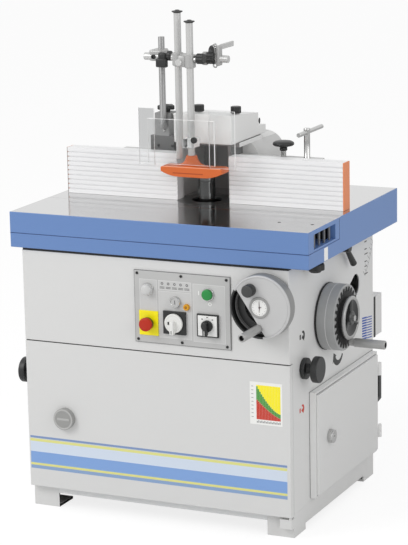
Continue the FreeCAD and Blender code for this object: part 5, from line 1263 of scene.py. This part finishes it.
# Grey blocks on a bare steel plate
rounded("electrical_gear", [contact_grey, bright_steel], 0.8, sharp=60,
        second=lambda face: face.calc_center_median().x < GEAR_LOW.x + 3.2)
bm = bmesh.new()
for i in range(CONTACTORS):
    y = GEAR_LOW.y + CONTACTOR_START + CONTACTOR_PITCH * i + 23
    for drop in (50, 96):
        for shift in (-14, 0, 14):
            turned(bm, CONTACTOR_SCREW, "x", (GEAR_HIGH.x, y + shift, GEAR_HIGH.z - drop), 12)
piece(bm, "contactor_screws", dark_steel)
print("electrical gear:", CONTACTORS, "contactors")

# %% [markdown]
# ## Screws of the guard holder
# The holder of the guard post is a pair of cast blocks, clamped by bright screws above and bolted down by dark ones
# below. Heads alone are enough, because their shanks are inside the casting.

# %% Screw heads
HOLDER_FRONT, HOLDER_STEPPED = 45.0, 64.0
HEADS = [((-121, HOLDER_STEPPED, 1137), disc(8, -2, 4, 1.0), 32, 0),
         ((-138, HOLDER_FRONT, 1094), disc(4.5, -2, 3, 0.8), 24, 0),
         ((-158, HOLDER_FRONT, 1048), disc(4, -2, 2.5, 0.8), 24, 1),
         ((-112, HOLDER_FRONT, 1048), disc(4, -2, 2.5, 0.8), 24, 1)]
bm = bmesh.new()
for spot, profile, steps, index in HEADS:
    turned(bm, profile, "-y", spot, steps, index)
piece(bm, "guard_holder_screws", [bright_steel, dark_steel], BODY_OF["guard_post"])
print("screws on the guard holder:", len(HEADS))

# %% [markdown]
# ## Motor
# The motor hangs in front of the quill. Its shell has cooling fins all round, a fan cowl on top and a terminal box.
# Core and cowl are turned, and each fin is a small rectangle grown upward, because fins of a real shell are straight.

# %% Motor with fins
MOTOR_LOW, MOTOR_HIGH = span("motor")
MOTOR_R = (MOTOR_HIGH.x - MOTOR_LOW.x) / 2
FINS, FIN_DEPTH, FIN_HALF, FIN_TALL, SHAFT_HOLE, SHELL_TALL = 36, 7.0, 1.3, 137, 15, 150
at = along(middle("motor_shaft"), "z")
core, tall = MOTOR_R - FIN_DEPTH, MOTOR_HIGH.z - MOTOR_LOW.z
bm = bmesh.new()
turned(bm, [(SHAFT_HOLE, 0), (MOTOR_R, 0), (MOTOR_R, 10), (core, 12), (core, SHELL_TALL), (SHAFT_HOLE, SHELL_TALL),
            (SHAFT_HOLE, 0)], "z", at(MOTOR_LOW.z), 72)
turned(bm, [(0, SHELL_TALL - 2), (MOTOR_R, SHELL_TALL - 2), (MOTOR_R, tall - 8), (MOTOR_R - 8, tall), (0, tall)], "z",
       at(MOTOR_LOW.z), 72, 1)
base = at(MOTOR_LOW.z + 11)
for i in range(FINS):
    angle = tau * i / FINS
    out, across = Vector((cos(angle), sin(angle), 0)), Vector((-sin(angle), cos(angle), 0)) * FIN_HALF
    inner, outer = base + out * (core - 1), base + out * (MOTOR_R - 0.4)
    grow(bm, [inner - across, outer - across, outer + across, inner + across], (0, 0, FIN_TALL))
block(bm, (base.x - 45, MOTOR_LOW.y, MOTOR_HIGH.z - 90), (base.x + 45, base.y - core + 4, MOTOR_HIGH.z - 20), 4, 3, 2)
piece(bm, "motor_shell", [motor_enamel, black_plastic, powder_mid], node="motor")
print("motor:", FINS, "fins")

# %% [markdown]
# ## Knobs of the table, fence and hood
# Star knobs and fluted knobs share one outline function, because both are waves round a circle. The tee handle is a
# turned post with a cross bar. All of them stand upright, so each one is built on the vertical line of its CAD node.

# %% Knobs of the table and the hood
KNOB = [black_plastic, bright_steel]
KNOB_FOOT, KNOB_WASHER = [(0, 0), (14, 0), (17, 2), (20, 9), (0, 9)], [(0, 0), (11, 0), (11, 2.2), (0, 2.2)]


def upright(node):
    """A new bmesh, points on the vertical line of a node, and its low and high end."""
    low, high = span(node)
    return bmesh.new(), along(middle(node), "z"), low.z, high.z


bm, at, low, high = upright("pull_out_clamp")
bar(bm, at(low + 16), at(high), 6, index=1)
lobed(bm, at(0), 28, 3.5, 7, low + 7, low + 25)
turned(bm, KNOB_FOOT, "z", at(low), 40)
piece(bm, "pull_out_knob", KNOB, node="pull_out_clamp")

for hand in ("left", "right"):
    bm, at, low, high = upright(f"hood_knob_{hand}")
    lobed(bm, at(0), 15.5, 1.1, 18, high - 20, high, dome=1.0, steps=4)
    turned(bm, KNOB_WASHER, "z", at(high - 22), 32, 1)
    bar(bm, at(low), at(high - 25), 4, index=1)
    piece(bm, f"hood_knob_cap_{hand}", KNOB, node=f"hood_knob_{hand}")
print("three knobs made")

# %% Fence knob, tee handle and star knob
FENCE_CAP_TALL, TEE_TALL, TEE_FOOT = 29, 90, 1028
FENCE_CAP = [(0, 0), (11, 0), (11.5, 3), (11, 9), (16, 12.5), (28, 14.5), (31.4, 17), (32, 20.5), (30.5, 24),
             (25, 27.4), (12, 28.8), (0, FENCE_CAP_TALL)]
TEE_POST = [(0, 0), (10.5, 0), (10.5, 4), (9, 6), (9, 82), (10, 84), (10, 88), (8.5, TEE_TALL), (0, TEE_TALL)]
STAR_FOOT, STAR_CAP = [(0, 0), (11, 0), (12.5, 4), (12.5, 9), (0, 9)], [(0, 0), (9, 0), (8, 2), (0, 2)]
bm, at, low, high = upright("fence_clamp_knob")
bar(bm, at(low), at(high - FENCE_CAP_TALL), 8, index=1)
turned(bm, FENCE_CAP, "z", at(high - FENCE_CAP_TALL), 64)
piece(bm, "fence_clamp_cap", KNOB, node="fence_clamp_knob")

low, high = span("fence_t_handle")
at = along(((low.x + high.x) / 2, middle("fence_clamp_knob").y, 0), "z")
bm = bmesh.new()
bar(bm, at(low.z), at(TEE_FOOT), 8)
turned(bm, TEE_POST, "z", at(high.z - TEE_TALL), 40)
cross = along(at(high.z - 12), "y")
bar(bm, cross(low.y), cross(high.y), 6.5, 32)
piece(bm, "fence_tee", bright_steel, node="fence_t_handle")

bm, at, low, high = upright("post_knob")
bar(bm, at(low), at(high - 18), 4, index=1)
turned(bm, STAR_FOOT, "z", at(high - 21.5), 40)
lobed(bm, at(0), 27, 8.0, 5, high - 15, high - 2, steps=10)
turned(bm, STAR_CAP, "z", at(high - 2), 32)
piece(bm, "post_star", KNOB, node="post_knob")
print("fence knob, tee handle and star knob made")

# %% [markdown]
# ## Guard arm and clear guard
# A black clamp holds the cross rod on the post. Cast clamps carry the two bars on a short rod that comes forward, and
# a knurled knob with an eye bolt holds the flat stay. Such castings are built up from rounded blocks and turned rings
# that run into each other, as their real forms do. The clear guard is a folded sheet whose edges are painted white as
# a painted highlight.

# %% Guard arm
ARM_Y, ARM_Z = 12.0, 1320.0
REACH_X, EYE_X, EYE_Y = -17.0, 51.0, ARM_Y - 6
REAR_X, REAR_Y, _ = middle("rear_bar")
arm_low, arm_high = span("guard_arm")
cast_alloy = finish("cast alloy clamp", "#B5B5B4", 0.36, 0.25, grain=(2.5, 0.08, EVEN))  # pale and a little rough
bm = bmesh.new()
bar(bm, (arm_low.x, ARM_Y, ARM_Z), (arm_high.x, ARM_Y, ARM_Z), 11, 32)
bar(bm, (REACH_X, arm_low.y, ARM_Z), (REACH_X, ARM_Y, ARM_Z), 10, 32)
CLAMPS = [((POST_X - 26, ARM_Y - 10, -13), (POST_X + 14, POST_Y + 22, 20), 5, 2),
          ((POST_X, ARM_Y - 20, -30), (POST_X + 36, ARM_Y - 6, -4), 4, 1),
          ((POST_X + 8, ARM_Y - 20, -10), (POST_X + 33, ARM_Y - 6, 14), 5, 1),
          ((REACH_X - 6, BAR_Y - 16, -14), (BAR_X - 10, BAR_Y + 16, 20), 5, 2),
          ((REAR_X + 10, REAR_Y - 16, -14), (REACH_X + 6, REAR_Y + 16, 20), 5, 2),
          ((EYE_X + 6, ARM_Y - 13, -20), (EYE_X + 16, ARM_Y + 13, 40), 4, 2)]
for low, high, rounding, index in CLAMPS:
    block(bm, (*low[:2], ARM_Z + low[2]), (*high[:2], ARM_Z + high[2]), rounding, 3, index)
block(bm, (EYE_X + 8, ARM_Y + 6, ARM_Z + 26), (EYE_X + 14, arm_high.y, ARM_Z + 42), 2)
turned(bm, [(0, 0), (7, 0), (7, 4), (6, 5), (3.6, 5), (3.6, 1.5), (0, 1.5)], "-y",
       (POST_X - 10, ARM_Y - 10, ARM_Z), 32, 1)
for x, y in ((BAR_X, BAR_Y), (REAR_X, REAR_Y)):
    turned(bm, ring(10.8, 17, -16, 22, 2), "z", (x, y, ARM_Z), 48, 2)
FLUTED = [((POST_X + 33, ARM_Y - 2, 4), 15, 1.0, 14, 12), ((BAR_X + 23, BAR_Y, 11), 15.5, 1.0, 16, 23),
          ((REACH_X + 44, ARM_Y - 8, 2), 17, 1.2, 18, 25)]
for (x, y, rise), radius, flute, flutes, long in FLUTED:
    lobed(bm, (x, y, ARM_Z + rise), radius, flute, flutes, 0, long, "x", 1, 1.5, 4)
bar(bm, (BAR_X + 12, BAR_Y, ARM_Z + 8), (BAR_X + 24, BAR_Y, ARM_Z + 8), 8, index=3)
turned(bm, ring(9, 20, -7, 7, 2), "x", (REACH_X + 34, ARM_Y, ARM_Z), 40, 2)
turned(bm, disc(20, 0, 12, 1.5), "x", (REACH_X + 48, ARM_Y + 8, ARM_Z + 18), 40, 1)
for rise in (39, -19):
    turned(bm, wire(5.5, 2.2, 0, 12), "-y", (EYE_X, EYE_Y, ARM_Z + rise), 28, 3)
bar(bm, (EYE_X, EYE_Y, ARM_Z - 14), (EYE_X, EYE_Y, ARM_Z + 34), 3.2, index=3)
piece(bm, "guard_arm_clamps", [tube_grey, black_plastic, cast_alloy, bright_steel], node="guard_arm")
print("guard arm:", len(CLAMPS), "clamp blocks")

# %% Clear guard
CLIP_X, CLIP_Z, EDGE_AREA = 33.0, 1097.0, 1500
sheet_edge_painted_highlight = finish("sheet edge, painted highlight", "#FFFFFF", 0.3)  # painted highlight: the white outline by which the clear sheet is seen
rounded("clear_guard", [clear_sheet, sheet_edge_painted_highlight], 0.5, second=lambda face: face.calc_area() < EDGE_AREA, sharp=60,
        smooth=5)
bm = bmesh.new()
turned(bm, disc(9, 0, 10, 1.5), "-y", (CLIP_X, span("clear_guard")[0].y, CLIP_Z), 40)
piece(bm, "guard_clip", black_plastic, BODY_OF["clear_guard"])
print("clear guard made")

# %% [markdown]
# ## Small things on castings
# Ribs stand in the open end of the pull-out table, a dark seam shows under it, a black strip of painted shade sits on
# the rear bulge, and a black plug closes the end of the hood. Each is a thin block or flat shape: at this size only
# its tone is seen.

# %% Ribs, seam, shade strip and plug
RIBS, RIB_START, RIB_PITCH, RIB_LOW, RIB_HIGH = 4, -288, 38, 841, 885
bm = bmesh.new()
for i in range(RIBS):
    y = RIB_START + i * RIB_PITCH
    block(bm, (TABLE_HIGH.x - 14, y, RIB_LOW), (TABLE_HIGH.x - 8, y + 5, RIB_HIGH), 1.0)
piece(bm, "pull_out_ribs", hammer_grey, "pull_out")

SEAM_HIGH, SEAM_END = span("pull_out_table")[0].z, -117
SEAM_LOW = SEAM_HIGH - 0.9
seam_blue = finish("dark blue seam", "#33497A", 0.5)  # a fine dark line between table and ledge
bm = bmesh.new()
block(bm, (TABLE_LOW.x, TABLE_LOW.y - 0.2, SEAM_LOW), (TABLE_HIGH.x, TABLE_LOW.y + 1, SEAM_HIGH))
block(bm, (TABLE_HIGH.x - 1, TABLE_LOW.y, SEAM_LOW), (TABLE_HIGH.x + 0.2, SEAM_END, SEAM_HIGH))
piece(bm, "table_seam", seam_blue)

BULGE_X, SHADE_STRIP_LOW, SHADE_STRIP_HIGH = 418.0, (338, 432), (353, 560)
# A black strip on the side of the rear bulge: painted shade.
bm = bmesh.new()
side(bm, patch(SHADE_STRIP_LOW, SHADE_STRIP_HIGH), 0, BULGE_X)
piece(bm, "bulge_gap_shade", dull_black_and_gap_shade)

PLUG_Y, PLUG_Z, PLUG_WIDE, PLUG_TALL = 192, 1113, 6, 9
bm = bmesh.new()
oval = [(PLUG_Y + PLUG_WIDE * u, PLUG_Z + PLUG_TALL * v) for u, v in circle((0, 0), 1, 28)]
side(bm, oval, 0, span("hood")[1].x, 1.2)
piece(bm, "hood_plug", dull_black_and_gap_shade, "fence_unit")
print("ribs, seam, shade strip and plug made")

# %% [markdown]
# ## End
# The last cell reports that the scene is dressed.

# %% Finish
print("scene dressed")
